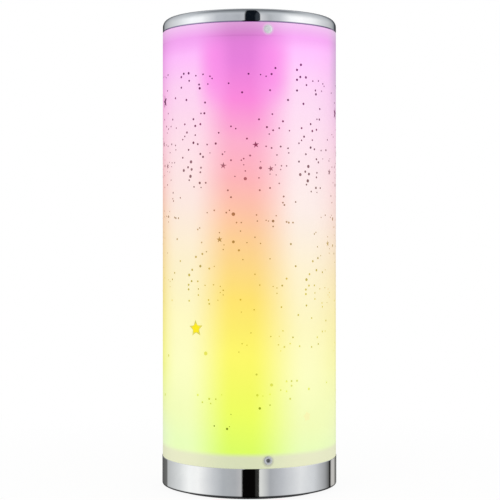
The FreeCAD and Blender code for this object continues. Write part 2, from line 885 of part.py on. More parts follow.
def board_block(label, left, front, width, depth, height):
    body = new_body(label)
    sketch = sketch_on(body, "XY_Plane", out=BOARD_TOP)
    rectangle(sketch, left, front, f"{left} + {width}", f"{front} + {depth}")
    pad(body, sketch, height)
    return body


def board_pieces():
    """The wire connector, the controller chip and the capacitor."""
    board_block(
        "wire_connector",
        "-connector_width / 2",
        "connector_front",
        "connector_width",
        "connector_depth",
        "connector_height",
    )
    board_block(
        "controller_chip",
        "-controller_width / 2",
        "controller_front",
        "controller_width",
        "controller_depth",
        "controller_height",
    )
    can = new_body("capacitor")
    sketch = sketch_on(can, "XY_Plane", out=BOARD_TOP)
    circle(sketch, "capacitor_radius", "0", "capacitor_place")
    barrel = pad(can, sketch, "capacitor_height")
    board_top = size("foot_height") + size("plate_wall") + size("board_lift") + size("board_wall")
    top = board_top + size("capacitor_height")
    rounded(can, "Chamfer", barrel, rims(barrel, size("capacitor_radius"), top), "capacitor_edge")


def bore_from_back(body, side, radius, face, depth):
    """A level hole bored in from the back, towards the front."""
    sketch = sketch_on(body, "XZ_Plane", out=f"-({face})")
    circle(sketch, radius, side, "port_height")
    return pocket(body, sketch, depth, reverse=True)


def dc_socket():
    """Low-voltage inlet on the board, its mouth at the back, with its centre contact as a pin."""
    left = "-port_side - socket_width / 2"
    body = board_block(
        "dc_socket", left, "socket_face - socket_depth", "socket_width", "socket_depth", "socket_height"
    )
    bore_from_back(body, "-port_side", "socket_bore", "socket_face", "socket_bore_depth")
    root = "(socket_face - socket_bore_depth)"
    bore_from_back(body, "-port_side", "pin_root_radius", root, "pin_root_depth")

    pin = new_body("dc_pin")
    tip = "(socket_face - pin_setback)"
    sketch = sketch_on(pin, "XY_Plane", right="-port_side", out="port_height")
    outline(
        sketch,
        ("0", f"{root} - pin_root_depth"),
        ("pin_root_radius", f"{root} - pin_root_depth"),
        ("pin_root_radius", root),
        ("pin_radius", root),
        ("pin_radius", f"{tip} - pin_edge"),
        ("pin_radius - pin_edge", tip),
        ("0", tip),
    )
    turned(pin, "Revolution", sketch)


def button():
    """Push switch on the board, its plunger, the return spring and the button in the back of the base."""
    left = "port_side - switch_side / 2"
    body = board_block(
        "switch_body", left, "switch_face - switch_depth", "switch_side", "switch_depth", "switch_height"
    )
    bore_from_back(body, "port_side", "plunger_radius + plunger_play", "switch_face", "plunger_bore_depth")

    plunger = new_body("switch_plunger")
    sketch = sketch_on(plunger, "XZ_Plane", out="-button_flange_back")
    circle(sketch, "plunger_radius", "port_side", "port_height")
    pad(plunger, sketch, "plunger_length")

    cap = new_body("mode_button")
    sketch = sketch_on(cap, "XY_Plane", right="port_side", out="port_height")
    outline(
        sketch,
        ("0", "button_flange_back"),
        ("button_flange", "button_flange_back"),
        ("button_flange", "button_flange_face"),
        ("button_radius", "button_flange_face"),
        ("button_radius", "metal_radius - button_edge"),
        ("button_radius - button_edge", "metal_radius"),
        ("0", "metal_radius"),
    )
    turned(cap, "Revolution", sketch)
    button_spring()


def button_spring():
    """Coil spring round the plunger, wound along Z in quarter turns and then laid along Y."""
    wire = size("spring_wire")
    radius = size("spring_radius")
    length = size("button_flange_back") - size("switch_face") - 2 * wire
    quarters = 4 * int(size("spring_turns"))
    pitch = length / size("spring_turns")

    def on_helix(quarter):
        angle = quarter * math.pi / 2
        return FreeCAD.Vector(radius * math.cos(angle), radius * math.sin(angle), wire + length * quarter / quarters)

    edges = [Part.Arc(on_helix(k), on_helix(k + 0.5), on_helix(k + 1)).toShape() for k in range(quarters)]
    path = Part.Wire(edges)
    along = edges[0].tangentAt(edges[0].FirstParameter)
    section = Part.Wire([Part.makeCircle(wire, on_helix(0), along)])
    coil = path.makePipeShell([section], True, False)
    print(f"button_spring: volume {coil.Volume:.3f} of {math.pi * wire**2 * path.Length:.3f} mm3")
    print(f"button_spring: gap between turns {pitch - 2 * wire:.2f} mm")
    laid = FreeCAD.Rotation(FreeCAD.Vector(1, 0, 0), -90)
    place = FreeCAD.Vector(size("port_side"), size("switch_face"), size("port_height"))
    own_shape("button_spring", coil, FreeCAD.Placement(place, laid))


foot_ring()
base_plate()
upright_screws(
    "plate_screws",
    "screw",
    "foot_height",
    "plate_screw_length",
    "plate_screw_ring",
    "plate_screw_turn",
    3,
    head_up=False,
)
plate_pillars()
ballast_disc()
upright_screws(
    "ballast_screws",
    "large",
    BALLAST_TOP,
    "ballast_screw_length",
    "plate_screw_ring",
    "ballast_screw_turn",
    2,
    "ballast_screw_span",
)
base_shell()
deck_grommet()
lower_collar()
upright_screws(
    "lower_collar_screws",
    "screw",
    DECK_UNDER,
    "collar_screw_length",
    "boss_ring",
    "shade_screw_turn + 180",
    3,
    head_up=False,
)
shade_tube()
shade_screws("lower_shade_screws", "shade_screw_height")
shade_screws("upper_shade_screws", UPPER_SCREW_HEIGHT)
diffuser_sleeve()
upper_collar()
upright_screws(
    "upper_collar_screws",
    "screw",
    UPPER_FLANGE_BOTTOM,
    "collar_screw_length",
    "boss_ring",
    "shade_screw_turn + 180",
    3,
    head_up=False,
)
cap_bushes()
top_cap()
post_foot()
upright_screws("post_foot_screws", "screw", POST_BOTTOM, "post_screw_length", "post_screw_ring", "0", 4)
post_foot_nuts()
post_side_screws()
led_post()
post_head()
led_strips()
wiring()
control_board()
board_pillars()
board_screws()
board_pieces()
dc_socket()
button()
doc.recompute()

for thing in doc.Objects:
    if "Invalid" in thing.State or "Error" in thing.State:
        raise RuntimeError(f"{thing.Name} ({thing.Label}) failed: {thing.State}")
    if thing.TypeId in ("PartDesign::Pocket", "PartDesign::Groove"):
        removed = thing.BaseFeature.Shape.Volume - thing.Shape.Volume
        if removed < 0.01:
            raise RuntimeError(f"{thing.Name} cuts nothing")
for part in parts:
    if part.Shape.isNull() or not part.Shape.isValid():
        raise RuntimeError(f"{part.Label} has no valid shape")
    if any(solid.Volume <= 0 for solid in part.Shape.Solids):
        raise RuntimeError(f"{part.Label} has an empty solid")
for part in parts:
    part.Shape.exportStep(f"parts/{part.Label}.step")
    print(f"{part.Label}: {len(part.Shape.Solids)} solids, {part.Shape.Volume:.1f} mm3")
print(f"{len(parts)} parts")
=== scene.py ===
import bmesh
import bpy
import json
import math
from functools import partial
from mathutils import Matrix, Vector


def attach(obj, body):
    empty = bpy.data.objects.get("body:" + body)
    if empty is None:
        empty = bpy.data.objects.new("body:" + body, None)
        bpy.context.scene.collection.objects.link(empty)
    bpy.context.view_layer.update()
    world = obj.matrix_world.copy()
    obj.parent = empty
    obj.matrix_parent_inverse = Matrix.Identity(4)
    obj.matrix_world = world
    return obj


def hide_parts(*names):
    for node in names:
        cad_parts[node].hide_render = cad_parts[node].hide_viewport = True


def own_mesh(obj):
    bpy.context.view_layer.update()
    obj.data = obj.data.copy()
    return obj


# Free-standing LED table lamp: a satin tube, lit from inside in a colour run, between a chromed base and cap.
# Lengths are in millimetres, times MM, and the frame is the CAD's: table at z 0, front towards -Y.

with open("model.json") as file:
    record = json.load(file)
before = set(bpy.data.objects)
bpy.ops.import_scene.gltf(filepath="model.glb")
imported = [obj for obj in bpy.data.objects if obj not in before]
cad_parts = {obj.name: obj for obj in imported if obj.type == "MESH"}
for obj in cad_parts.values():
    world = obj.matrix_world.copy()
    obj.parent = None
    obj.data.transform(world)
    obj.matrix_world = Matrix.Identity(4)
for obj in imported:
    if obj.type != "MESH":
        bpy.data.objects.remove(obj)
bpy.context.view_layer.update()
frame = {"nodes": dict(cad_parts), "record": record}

MM = 0.001
scene = bpy.context.scene

# The photograph's camera, and the picture's shift on its sensor
CAMERA_PLACE = (0.43, -957.6, 179.6)
SENSOR_WIDTH, FOCAL_LENGTH, SHIFT_UP = 36.0, 99.72, -0.052

# Outline of the lamp, the same as in the source
METAL_RADIUS = 60.0
SHEET_WALL = 1.0
RIM_GAP = 1.7
RIM_ROUND, RIM_INSIDE_ROUND = 0.7, 0.2
BASE_TOP = 20.8
BASE_ROUND = 0.3
DECK_UNDER = BASE_TOP - SHEET_WALL
CAP_RADIUS = 59.7
CAP_BOTTOM = 310.7
OVERALL_HEIGHT = 320.0
CAP_ROUND, CAP_EDGE_ROUND = 5.1, 0.9
TUBE_RADIUS = 59.7
TUBE_INNER = 57.7
COLLAR_HEIGHT = 8.7
COLLAR_TOP = BASE_TOP + COLLAR_HEIGHT
COLLAR_UNDER = CAP_BOTTOM - COLLAR_HEIGHT
WIRE_HOLE = 6.5
FOOT_OUTER, FOOT_INNER, FOOT_HEIGHT, FOOT_ROUND = 54.0, 46.0, 2.2, 0.4
PORT_SIDE, PORT_HEIGHT = 12.0, 12.8
INLET_HOLE, BUTTON_HOLE, BUTTON_TRAVEL = 4.5, 4.3, 1.0
SHADE_SCREW_TURN = math.radians(281.8)
LOWER_SCREW_HEIGHT, UPPER_SCREW_HEIGHT = 25.9, 306.2
SCREW_HEAD, SCREW_SHANK, SCREW_LENGTH = 2.8, 1.45, 6.0
SCREW_FLATS, MOUTH_DEPTH, RECESS_DEPTH = 2.0, 0.3, 0.9
SCREW_PLAY, SCREW_EDGE = 0.05, 0.15
BUTTON_RADIUS, BUTTON_FACE, BUTTON_ROUND = 4.0, 60.0, 0.4
BUTTON_STOP, STOP_FRONT, STOP_BACK = 5.2, 56.1, 54.9

# Settings that many nodes share
SOFT = {"interpolation_type": "SMOOTHSTEP"}
COLOURS = {"data_type": "RGBA"}
TIMES = {"operation": "MULTIPLY"}
MINUS = {"operation": "SUBTRACT"}


# Camera, stage and light


def set_camera():
    """The photograph's view: level, a little above the middle of the tube, just under a metre away."""
    data = bpy.data.cameras.new("camera")
    data.sensor_width = SENSOR_WIDTH
    data.lens = FOCAL_LENGTH
    data.shift_y = SHIFT_UP
    data.clip_start = 0.01
    camera = bpy.data.objects.new("camera", data)
    camera.location = Vector(CAMERA_PLACE) * MM
    camera.rotation_euler = (math.radians(90), 0.0, 0.0)
    scene.collection.objects.link(camera)
    scene.camera = camera


def linear(colour):
    """An sRGB hex colour as the linear values that Blender works in."""
    channels = [int(colour[k:k + 2], 16) / 255 for k in (1, 3, 5)]
    return [c / 12.92 if c <= 0.04045 else ((c + 0.055) / 1.055) ** 2.4 for c in channels] + [1.0]


def first_output(node):
    """The first output that the node has in use."""
    return next(output for output in node.outputs if output.enabled)


def add_node(tree, kind, inputs=(), stops=(), **settings):
    """Adds a node with its settings. Stops, of place and colour, fill a colour ramp.

    Its inputs come in their order, or by number or name. An input takes a value, a hex colour, an output, or
    a node, which stands for its first output in use. A MapRange takes a value, the range that it reads, and
    the range that it gives.
    """
    made = tree.nodes.new("ShaderNode" + kind)
    for name, value in settings.items():
        setattr(made, name, value)
    for socket, value in inputs.items() if isinstance(inputs, dict) else enumerate(inputs):
        if isinstance(value, bpy.types.Node):
            value = first_output(value)
        if isinstance(value, bpy.types.NodeSocket):
            tree.links.new(value, made.inputs[socket])
        else:
            made.inputs[socket].default_value = linear(value) if isinstance(value, str) else value
    for number, (place, colour) in enumerate(stops):
        elements = made.color_ramp.elements
        stop = elements[number] if number < 2 else elements.new(place)
        stop.position = place
        stop.color = linear(colour)
    return made


# What the polished metal mirrors, by direction round the lamp in degrees, the front at 0: a pale tent with
# grey panels, its opening behind the lamp. The low run also has the edge of a dark panel on the right.
HIGH_TENT = (
    (-180, "#101214"), (-165, "#1A1D20"), (-158, "#55595C"), (-151, "#9A9DA0"), (-145, "#A6A9AC"),
    (-132, "#C0C2C4"), (-100, "#E1E4E6"), (-82, "#FAFCFD"), (-66, "#F4F6F7"), (-42, "#BBBEC3"),
    (-14, "#ACAFB4"), (15, "#CDCED0"), (26, "#ACAFB3"), (40, "#C3C6CA"), (56, "#F8FAFA"),
    (72, "#FEFEFE"), (90, "#F6F7F7"), (112, "#D2D4D6"), (130, "#BDBFC1"), (146, "#979A9D"),
    (151.5, "#70747A"), (157.5, "#2C3035"), (166, "#1A1D20"), (180, "#101214"),
)
LOW_TENT = (
    (-180, "#505052"), (-152, "#5E5E5D"), (-139, "#6A6A69"), (-136, "#B2B4B4"), (-104, "#D6D8D7"),
    (-86, "#F4F5F3"), (-70, "#F3F3F1"), (-48, "#C6C8CA"), (-34, "#ACAFB2"), (-18, "#A9ABAD"),
    (-13, "#B2B2B3"), (15, "#D8D9D4"), (27, "#A6A8AB"), (44, "#BDBFC2"), (70, "#E0E1E1"), (92, "#CED0D2"),
    (118, "#98999A"), (129, "#5C5C5B"), (130.5, "#1A1918"), (134, "#1A1918"), (136.5, "#B8B6B2"),
    (147, "#BFBCB7"), (157, "#70706C"), (180, "#505052"),
)


def add_tent(add):
    """The tent's colours by the direction that the metal mirrors."""
    way = add("SeparateXYZ", [add("TexCoord").outputs["Generated"]]).outputs
    forward = add("Math", [way["Y"], -1.0], **TIMES)
    turn = add("Math", [way["X"], forward], operation="ARCTAN2")
    place = add("MapRange", [turn, -math.pi, math.pi])
    low, high = (
        add("ValToRGB", [place], [((degrees + 180) / 360, colour) for degrees, colour in run])
        for run in (LOW_TENT, HIGH_TENT)
    )
    raised = add("MapRange", [way["Z"], -0.08, 0.05], **SOFT)
    tone = add("Mix", {0: raised, 6: low, 7: high}, **COLOURS)
    # Upwards, the tent evens out and then darkens, most of all behind. Downwards, it ends at the pale table.
    upwards = add("MapRange", [way["Z"], 0.15, 0.85])
    tone = add("Mix", {0: upwards, 6: tone, 7: "#B6BABE"}, **COLOURS)
    behind = add("MapRange", [forward, 0.15, -0.5], **SOFT)
    peak = add("Mix", {0: behind, 6: "#8A8E92", 7: "#3A3E42"}, **COLOURS)
    overhead = add("MapRange", [way["Z"], 0.7, 1.0], **SOFT)
    tone = add("Mix", {0: overhead, 6: tone, 7: peak}, **COLOURS)
    beneath = add("MapRange", [way["Z"], -0.3, -0.7], **SOFT)
    tone = add("Mix", {0: beneath, 6: tone, 7: "#D0D2D4"}, **COLOURS)
    # The tent's slit, in front: wider low down, narrower overhead, soft on its left edge
    closing = add("MapRange", {0: forward, 3: 0.3})
    left = add("MapRange", {0: raised, 3: -0.168, 4: -0.104})
    left = add("Math", [left, closing], **TIMES)
    left = add("Math", [way["X"], left], **MINUS)
    right = add("MapRange", {0: raised, 3: 0.22, 4: 0.246})
    right = add("Math", [right, closing], **TIMES)
    right = add("Math", [right, way["X"]], **MINUS)
    slit = add("MapRange", [forward, -0.15, 0.0], **SOFT)
    for inside, softness in ((left, 0.022), (right, 0.006)):
        edge = add("MapRange", [inside, -softness, softness], **SOFT)
        slit = add("Math", [slit, edge], **TIMES)
    # Black in the slit, and dark grey along its right side
    black = add("Mix", {0: raised, 6: "#070606", 7: "#0D1319"}, **COLOURS)
    grey = add("Mix", {0: raised, 6: "#2F2F2D", 7: "#30363C"}, **COLOURS)
    aside = add("MapRange", [way["X"], 0.115, 0.15], **SOFT)
    dark = add("Mix", {0: aside, 6: black, 7: grey}, **COLOURS)
    return add("Mix", {0: slit, 6: tone, 7: dark}, **COLOURS)


def set_world():
    """White behind the lamp, the tent in the polished metal, and a plain soft grey-white for all else."""
    world = bpy.data.worlds.new("studio")
    scene.world = world
    world.use_nodes = True
    world.node_tree.nodes.clear()
    add = partial(add_node, world.node_tree)
    path = add("LightPath").outputs
    mirrored = add("Background", {"Color": add_tent(add), "Strength": 1.16})
    white = add("Background", {"Color": "#FFFFFF", "Strength": 1.0})
    plain = add("Background", {"Color": "#FBFBFD", "Strength": 0.6})
    seen = add("Math", [path["Is Camera Ray"], path["Is Transmission Ray"]], operation="MAXIMUM")
    rest = add("MixShader", [path["Is Glossy Ray"], plain, mirrored])
    add("OutputWorld", {"Surface": add("MixShader", [seen, rest, white])})


def add_softbox(name, place, side, watts):
    """A large soft lamp that lights the object, aimed at its middle, but isn't mirrored in it."""
    data = bpy.data.lights.new(name, "AREA")
    data.shape = "SQUARE"
    data.size = side
    data.energy = watts
    lamp = bpy.data.objects.new(name, data)
    lamp.location = place
    middle = Vector((0.0, 0.0, 0.16))
    lamp.rotation_euler = (middle - Vector(place)).to_track_quat("-Z", "Y").to_euler()
    lamp.visible_glossy = False
    scene.collection.objects.link(lamp)


def set_lights():
    add_softbox("softbox_left", (-1.0, -1.1, 0.75), 1.0, 5.0)
    add_softbox("softbox_right", (1.1, -0.9, 0.6), 1.0, 4.0)
    add_softbox("softbox_back", (0.3, 1.3, 0.8), 1.0, 3.0)
    add_softbox("softbox_top", (0.0, 0.0, 1.5), 1.2, 4.0)


def mesh_object(bm, name):
    """A bmesh as a new object in the scene."""
    mesh = bpy.data.meshes.new(name)
    bm.to_mesh(mesh)
    bm.free()
    made = bpy.data.objects.new(name, mesh)
    scene.collection.objects.link(made)
    return made


def set_floor():
    """A plain pale floor that keeps the lamp's soft shadow and fades into the white behind it."""
    bm = bmesh.new()
    bmesh.ops.create_grid(bm, x_segments=8, y_segments=8, size=1.6)
    floor = mesh_object(bm, "floor")
    floor.visible_glossy = False
    material = bpy.data.materials.new("painted_floor")
    material.use_nodes = True
    material.node_tree.nodes.clear()
    add = partial(add_node, material.node_tree)
    place = add("TexCoord").outputs["Object"]
    distance = add("VectorMath", [place], operation="LENGTH")
    far = add("MapRange", [distance, 0.08, 0.4, 0.93, 1.0], **SOFT)
    paint = add("BsdfDiffuse", {"Color": "#F4F4F4"})
    glow = add("Emission", {"Color": "#FFFFFF", "Strength": 1.0})
    faded = add("MixShader", [far, paint, glow])
    seen = add("LightPath").outputs["Is Camera Ray"]
    shown = add("MixShader", [seen, paint, faded])
    # From below, the floor lets the underside be seen.
    under = add("NewGeometry").outputs["Backfacing"]
    final = add("MixShader", [under, shown, add("BsdfTransparent")])
    add("OutputMaterial", {"Surface": final})
    floor.data.materials.append(material)


# Materials


def feed(material, inputs):
    """Gives the surface its inputs: constants, or nodes, which stand for their first outputs in use."""
    tree = material.node_tree
    for socket, value in inputs.items():
        target = tree.nodes["Principled BSDF"].inputs[socket]
        if isinstance(value, bpy.types.Node):
            tree.links.new(first_output(value), target)
        else:
            target.default_value = value


def new_material(name, constants=None):
    """A material with one Principled surface and its constants, its own add_node, and the place on it."""
    material = bpy.data.materials.new(name)
    material.use_nodes = True
    feed(material, constants or {})
    add = partial(add_node, material.node_tree)
    return material, add, add("TexCoord").outputs["Object"]


def dress(material, add, tone, gloss, relief, strength, depth):
    """Gives the surface its colour and roughness, unless they are None, and a relief of this depth."""
    bump = add("Bump", {"Height": relief, "Strength": strength, "Distance": depth * MM})
    given = {"Base Color": tone, "Roughness": gloss, "Normal": bump}
    feed(material, {socket: made for socket, made in given.items() if made})
    return material


def per_metre(millimetres):
    """A texture's scale for a feature of this size."""
    return 1 / (millimetres * MM)


def height_run(add, height, run):
    """Colours that follow the height, from stops of a height in millimetres and a colour."""
    bottom, top = run[0][0], run[-1][0]
    share = add("MapRange", [height, bottom * MM, top * MM])
    return add("ValToRGB", [share], [((level - bottom) / (top - bottom), tone) for level, tone in run])


def away_from(add, height, level):
    """How far a height is from a level in millimetres, either way."""
    rise = add("Math", [height, level * MM], **MINUS)
    return add("Math", [rise], operation="ABSOLUTE")


def chrome_plate():
    # Bright chrome over drawn steel: a mirror, with a faint polishing haze and the slight waves of the sheet.
    # The base's lower edge has painted shade, and the cap's lower edge a painted pink reflection of the tube.
    material, add, place = new_material("chrome_plate", {"Metallic": 1.0})
    haze = add("TexNoise", {"Vector": place, "Scale": per_metre(9), "Detail": 4.0, "Roughness": 0.6})
    fine = add("TexNoise", {"Vector": place, "Scale": per_metre(0.7), "Detail": 2.0})
    both = add("Math", [haze, fine], **TIMES)
    roughness = add("MapRange", [both, 0.1, 0.5, 0.028, 0.06])
    tint = add("ValToRGB", [haze], [(0.3, "#EAEBED"), (0.7, "#F0F1F2")])
    height = add("SeparateXYZ", [place]).outputs["Z"]
    # Painted shade along the base's lower edge, and a painted reflection of the tube's pink along the cap's
    # lower edge
    for edge, depth, colour in ((RIM_GAP, 1.2, "#3C3C3D"), (CAP_BOTTOM, CAP_EDGE_ROUND, "#9A8FB0")):
        rise = away_from(add, height, edge)
        near = add("MapRange", [rise, (depth + 0.3) * MM, (depth - 0.3) * MM], **SOFT)
        tint = add("Mix", {0: near, 6: tint, 7: colour}, **COLOURS)
    wave = add("TexNoise", {"Vector": place, "Scale": per_metre(14), "Detail": 1.0})
    return dress(material, add, tint, roughness, wave, 0.02, 0.2)


# Colour of the light in the tube, by height: at its deepest, and where painted studio light washes it out
DEEP_RUN = (
    (32, "#DEFF60"), (56, "#EFFF5C"), (92, "#FEF966"), (130, "#FFE36C"), (169, "#FDCE92"), (208, "#FEB4B8"),
    (232, "#FDAECC"), (260, "#FC88DB"), (285, "#E87EDB"), (298, "#E27DD8"), (304, "#D67BCD"),
)
PALE_RUN = (
    (32, "#EAFFBA"), (50, "#F4FEB9"), (85, "#FEFFC2"), (115, "#FFF9C1"), (150, "#FEF1CB"), (190, "#FDE8DF"),
    (230, "#FEDEE9"), (270, "#FDCEF2"), (292, "#FEBAFA"), (299, "#F7A8F3"), (304, "#F2A0EE"),
)


def tube_light(add, place):
    """The light that the tube gives off at a place, and how far painted studio light washes it out there."""
    at = add("SeparateXYZ", [place]).outputs
    # The run leans a little: at one height, the right side is still pinker than the left, but not by the cap.
    lean = add("MapRange", [at["Z"], 250 * MM, 295 * MM, 0.1, -0.04])
    lean = add("Math", [at["X"], lean, at["Z"]], operation="MULTIPLY_ADD")
    deep, pale = height_run(add, lean, DEEP_RUN), height_run(add, lean, PALE_RUN)
    # Deepest a little left of the front, palest half way to the side, where painted studio light washes it
    # out
    turned = add("Mapping", {"Vector": place, "Rotation": (0.0, 0.0, math.radians(5))})
    across = add("VectorMath", [turned], operation="ABSOLUTE")
    across = add("SeparateXYZ", [across]).outputs
    turn = add("Math", [across["X"], across["Y"]], operation="ARCTAN2")
    spread = add("MapRange", [at["Z"], 90 * MM, 280 * MM, 0.96, 1.15])
    wider = add("Math", [turn, spread], **TIMES)
    leftwards = add("MapRange", [at["X"], 0.0, -20 * MM, 1.0, 1.1])
    wider = add("Math", [wider, leftwards], **TIMES)
    painted_studio_wash = add("MapRange", [wider, math.radians(4.6), math.radians(42)], **SOFT)
    # Near the cap, the light between the deepest and the palest is pinker than either.
    blush = add("Math", [1.0, painted_studio_wash], **MINUS)
    blush = add("Math", [blush, painted_studio_wash], **TIMES)
    for start, end in ((250, 275), (308, 288)):
        level = add("MapRange", [at["Z"], start * MM, end * MM], **SOFT)
        blush = add("Math", [blush, level], **TIMES)
    blush = add("Math", [blush, 2.2], **TIMES)
    # Towards the sides it deepens again, except low down, and less on the right.
    fall = add("MapRange", [turn, math.radians(46), math.radians(84)], **SOFT)
    depth = add("MapRange", [at["Z"], 40 * MM, 85 * MM, 0.2, -0.5])
    shallower = add("MapRange", [at["Z"], 200 * MM, 250 * MM, 0.0, 0.15])
    depth = add("Math", [depth, shallower], operation="ADD")
    side = add("MapRange", [at["X"], -30 * MM, 50 * MM, 1.7, 0.6])
    fall = add("Math", [fall, depth], **TIMES)
    fall = add("Math", [fall, side], **TIMES)
    painted_studio_wash = add("Math", [painted_studio_wash, fall, painted_studio_wash], operation="MULTIPLY_ADD")
    # High up, the right side is paler than the left.
    right = add("MapRange", [at["X"], 0.0, 30 * MM], **SOFT)
    more = add("MapRange", [at["Z"], 110 * MM, 200 * MM, 0.0, 0.17], **SOFT)
    more = add("Math", [right, more], **TIMES)
    painted_studio_wash = add("Math", [painted_studio_wash, more, painted_studio_wash], operation="MULTIPLY_ADD")
    light = add("Mix", {0: painted_studio_wash, 6: deep, 7: pale}, clamp_factor=False, **COLOURS)
    light = add("Mix", {0: blush, 6: light, 7: "#FF7EE8"}, **COLOURS)
    # At the far right, high up, painted shade makes the light weaker and greyer.
    painted_limb_shade = add("MapRange", [at["X"], 52 * MM, 60 * MM, 0.0, 0.5], **SOFT)
    level = add("MapRange", [at["Z"], 235 * MM, 285 * MM], **SOFT)
    painted_limb_shade = add("Math", [painted_limb_shade, level], **TIMES)
    return add("Mix", {0: painted_limb_shade, 6: light, 7: "#BDB2C8"}, **COLOURS), painted_studio_wash


# The shares of its colour that a lit surface gives off and throws back
GIVEN_OFF, THROWN_BACK = 0.72, 0.3
# How much lower than the lower screws the painted shade round them is
SCREW_SHADE_DROP = 0.35


def lit_surface(material, add, colour):
    """Splits a colour between what the surface gives off and what it throws back of the studio's light."""
    back = [THROWN_BACK] * 3 + [1.0]
    own = add("Mix", {0: 1.0, 6: colour, 7: back}, blend_type="MULTIPLY", **COLOURS)
    feed(material, {"Base Color": own, "Emission Color": colour, "Emission Strength": GIVEN_OFF})


def from_screws(add, place):
    """How far a place on the tube is from the nearest of its screws."""
    at = add("SeparateXYZ", [place]).outputs
    forward = add("Math", [at["Y"], -1.0], **TIMES)
    turn = add("Math", [at["X"], forward], operation="ARCTAN2")
    turn = add("Math", [turn, SHADE_SCREW_TURN - math.radians(270)], **MINUS)
    turn = add("Math", [turn, math.pi / 3, -math.pi / 3], operation="WRAP")
    aside = add("Math", [turn, TUBE_RADIUS * MM], **TIMES)
    middles = (LOWER_SCREW_HEIGHT - SCREW_SHADE_DROP, UPPER_SCREW_HEIGHT)
    rises = [away_from(add, at["Z"], middle) for middle in middles]
    rise = add("Math", rises, operation="MINIMUM")
    return add("VectorMath", [add("CombineXYZ", [aside, rise])], operation="LENGTH")


def satin_tube():
    # Satin opal acrylic, etched outside: glows with the light inside, with no clear highlight, and shows the
    # collars behind it as paler bands with a soft edge. Painted shade makes a soft grey ring round each
    # screw.
    material, add, place = new_material(
        "satin_opal_acrylic",
        {"Roughness": 0.5, "IOR": 1.49, "Specular IOR Level": 0.25, "Coat Weight": 0.5,
         "Coat Roughness": 0.35, "Coat IOR": 1.25},
    )
    light, painted_studio_wash = tube_light(add, place)
    height = add("SeparateXYZ", [place]).outputs["Z"]
    lower = add("MapRange", [height, (COLLAR_TOP + 2.2) * MM, (COLLAR_TOP - 2.2) * MM], **SOFT)
    upper = add("MapRange", [height, COLLAR_UNDER * MM, CAP_BOTTOM * MM, 0.0, 0.38])
    upper = add("Math", [upper, add("MapRange", {0: painted_studio_wash, 3: 0.55, 4: 1.0})], **TIMES)
    band = add("Mix", {0: painted_studio_wash, 6: "#D9DFBA", 7: "#E8EAC6"}, **COLOURS)
    light = add("Mix", {0: lower, 6: light, 7: band}, **COLOURS)
    light = add("Mix", {0: upper, 6: light, 7: "#F6F0F6"}, **COLOURS)
    # In front, the upper collar's lower edge shades a fine line.
    line = away_from(add, height, COLLAR_UNDER)
    line = add("MapRange", [line, 0.8 * MM, 0.1 * MM, 0.0, -0.08], **SOFT)
    front = add("Math", [1.0, painted_studio_wash], **MINUS)
    line = add("Math", [line, front, 1.0], operation="MULTIPLY_ADD")
    # Painted shade: a soft grey ring round each screw, a little low under the lower ones
    ring = add("MapRange", [from_screws(add, place), 3.0 * MM, 4.4 * MM, 0.5, 0.0], **SOFT)
    screw_shade_tone = height_run(add, height, ((100, "#9C9C98"), (200, "#DAD0DC")))
    light = add("Mix", {0: ring, 6: light, 7: screw_shade_tone}, **COLOURS)
    grain = add("TexNoise", {"Vector": place, "Scale": per_metre(0.5), "Detail": 2.0})
    cloud = add("TexNoise", {"Vector": place, "Scale": per_metre(30), "Detail": 1.0})
    level = add("MapRange", {0: grain, 3: 0.992, 4: 1.008})
    for other in (add("MapRange", {0: cloud, 3: 0.98, 4: 1.02}), line):
        level = add("Math", [level, other], **TIMES)
    light = add("VectorMath", {0: light, "Scale": level}, operation="SCALE")
    lit_surface(material, add, light)
    return dress(material, add, None, None, grain, 0.15, 0.05)


# Tint of the print by height: olive in the yellow, thin and brownish above it, and dark plum in the pink
INK_RUN = (
    (46, "#93972A"), (60, "#93972A"), (64, "#E3E494"), (90, "#E2E2A4"), (130, "#CEC65A"),
    (167, "#BCAD7A"), (186, "#A99070"), (208, "#A58083"), (215, "#B3929A"), (231, "#8B506C"),
    (258, "#752A66"), (280, "#6E1A65"),
)


def print_ink():
    # Screen-printed ink on the tube, thin enough to let the light through
    material, add, place = new_material("translucent_ink", {"Roughness": 0.45, "Specular IOR Level": 0.25})
    light, painted_studio_wash = tube_light(add, place)
    height = add("SeparateXYZ", [place]).outputs["Z"]
    ink = height_run(add, height, INK_RUN)
    # Each dot took its own amount of ink.
    load = add("TexNoise", {"Vector": place, "Scale": per_metre(4), "Detail": 0.0})
    level = add("MapRange", [load, 0.3, 0.7, 0.82, 1.18])
    # Over the palest light, two thirds of the way up, it looks darker.
    darker = painted_studio_wash
    for start, end in ((185, 205), (245, 230)):
        near = add("MapRange", [height, start * MM, end * MM], **SOFT)
        darker = add("Math", [darker, near], **TIMES)
    darker = add("Math", [darker, -0.35, 1.0], operation="MULTIPLY_ADD")
    level = add("Math", [level, darker], **TIMES)
    light = add("Mix", {0: 1.0, 6: light, 7: ink}, blend_type="MULTIPLY", **COLOURS)
    lit_surface(material, add, add("VectorMath", {0: light, "Scale": level}, operation="SCALE"))
    return material


def lit_ink():
    # The same ink in clear yellow, low down pale orange: it glows brighter than the tube round it
    material, add, place = new_material("clear_yellow_ink", {"Roughness": 0.45, "Specular IOR Level": 0.25})
    height = add("SeparateXYZ", [place]).outputs["Z"]
    colour = height_run(add, height, ((60, "#FAF8B5"), (90, "#E9E65A"), (97, "#E9E65A"), (103, "#FDEA06")))
    grain = add("TexNoise", {"Vector": place, "Scale": per_metre(0.6), "Detail": 1.0})
    level = add("MapRange", {0: grain, 3: 0.97, 4: 1.01})
    lit_surface(material, add, add("VectorMath", {0: colour, "Scale": level}, operation="SCALE"))
    return material


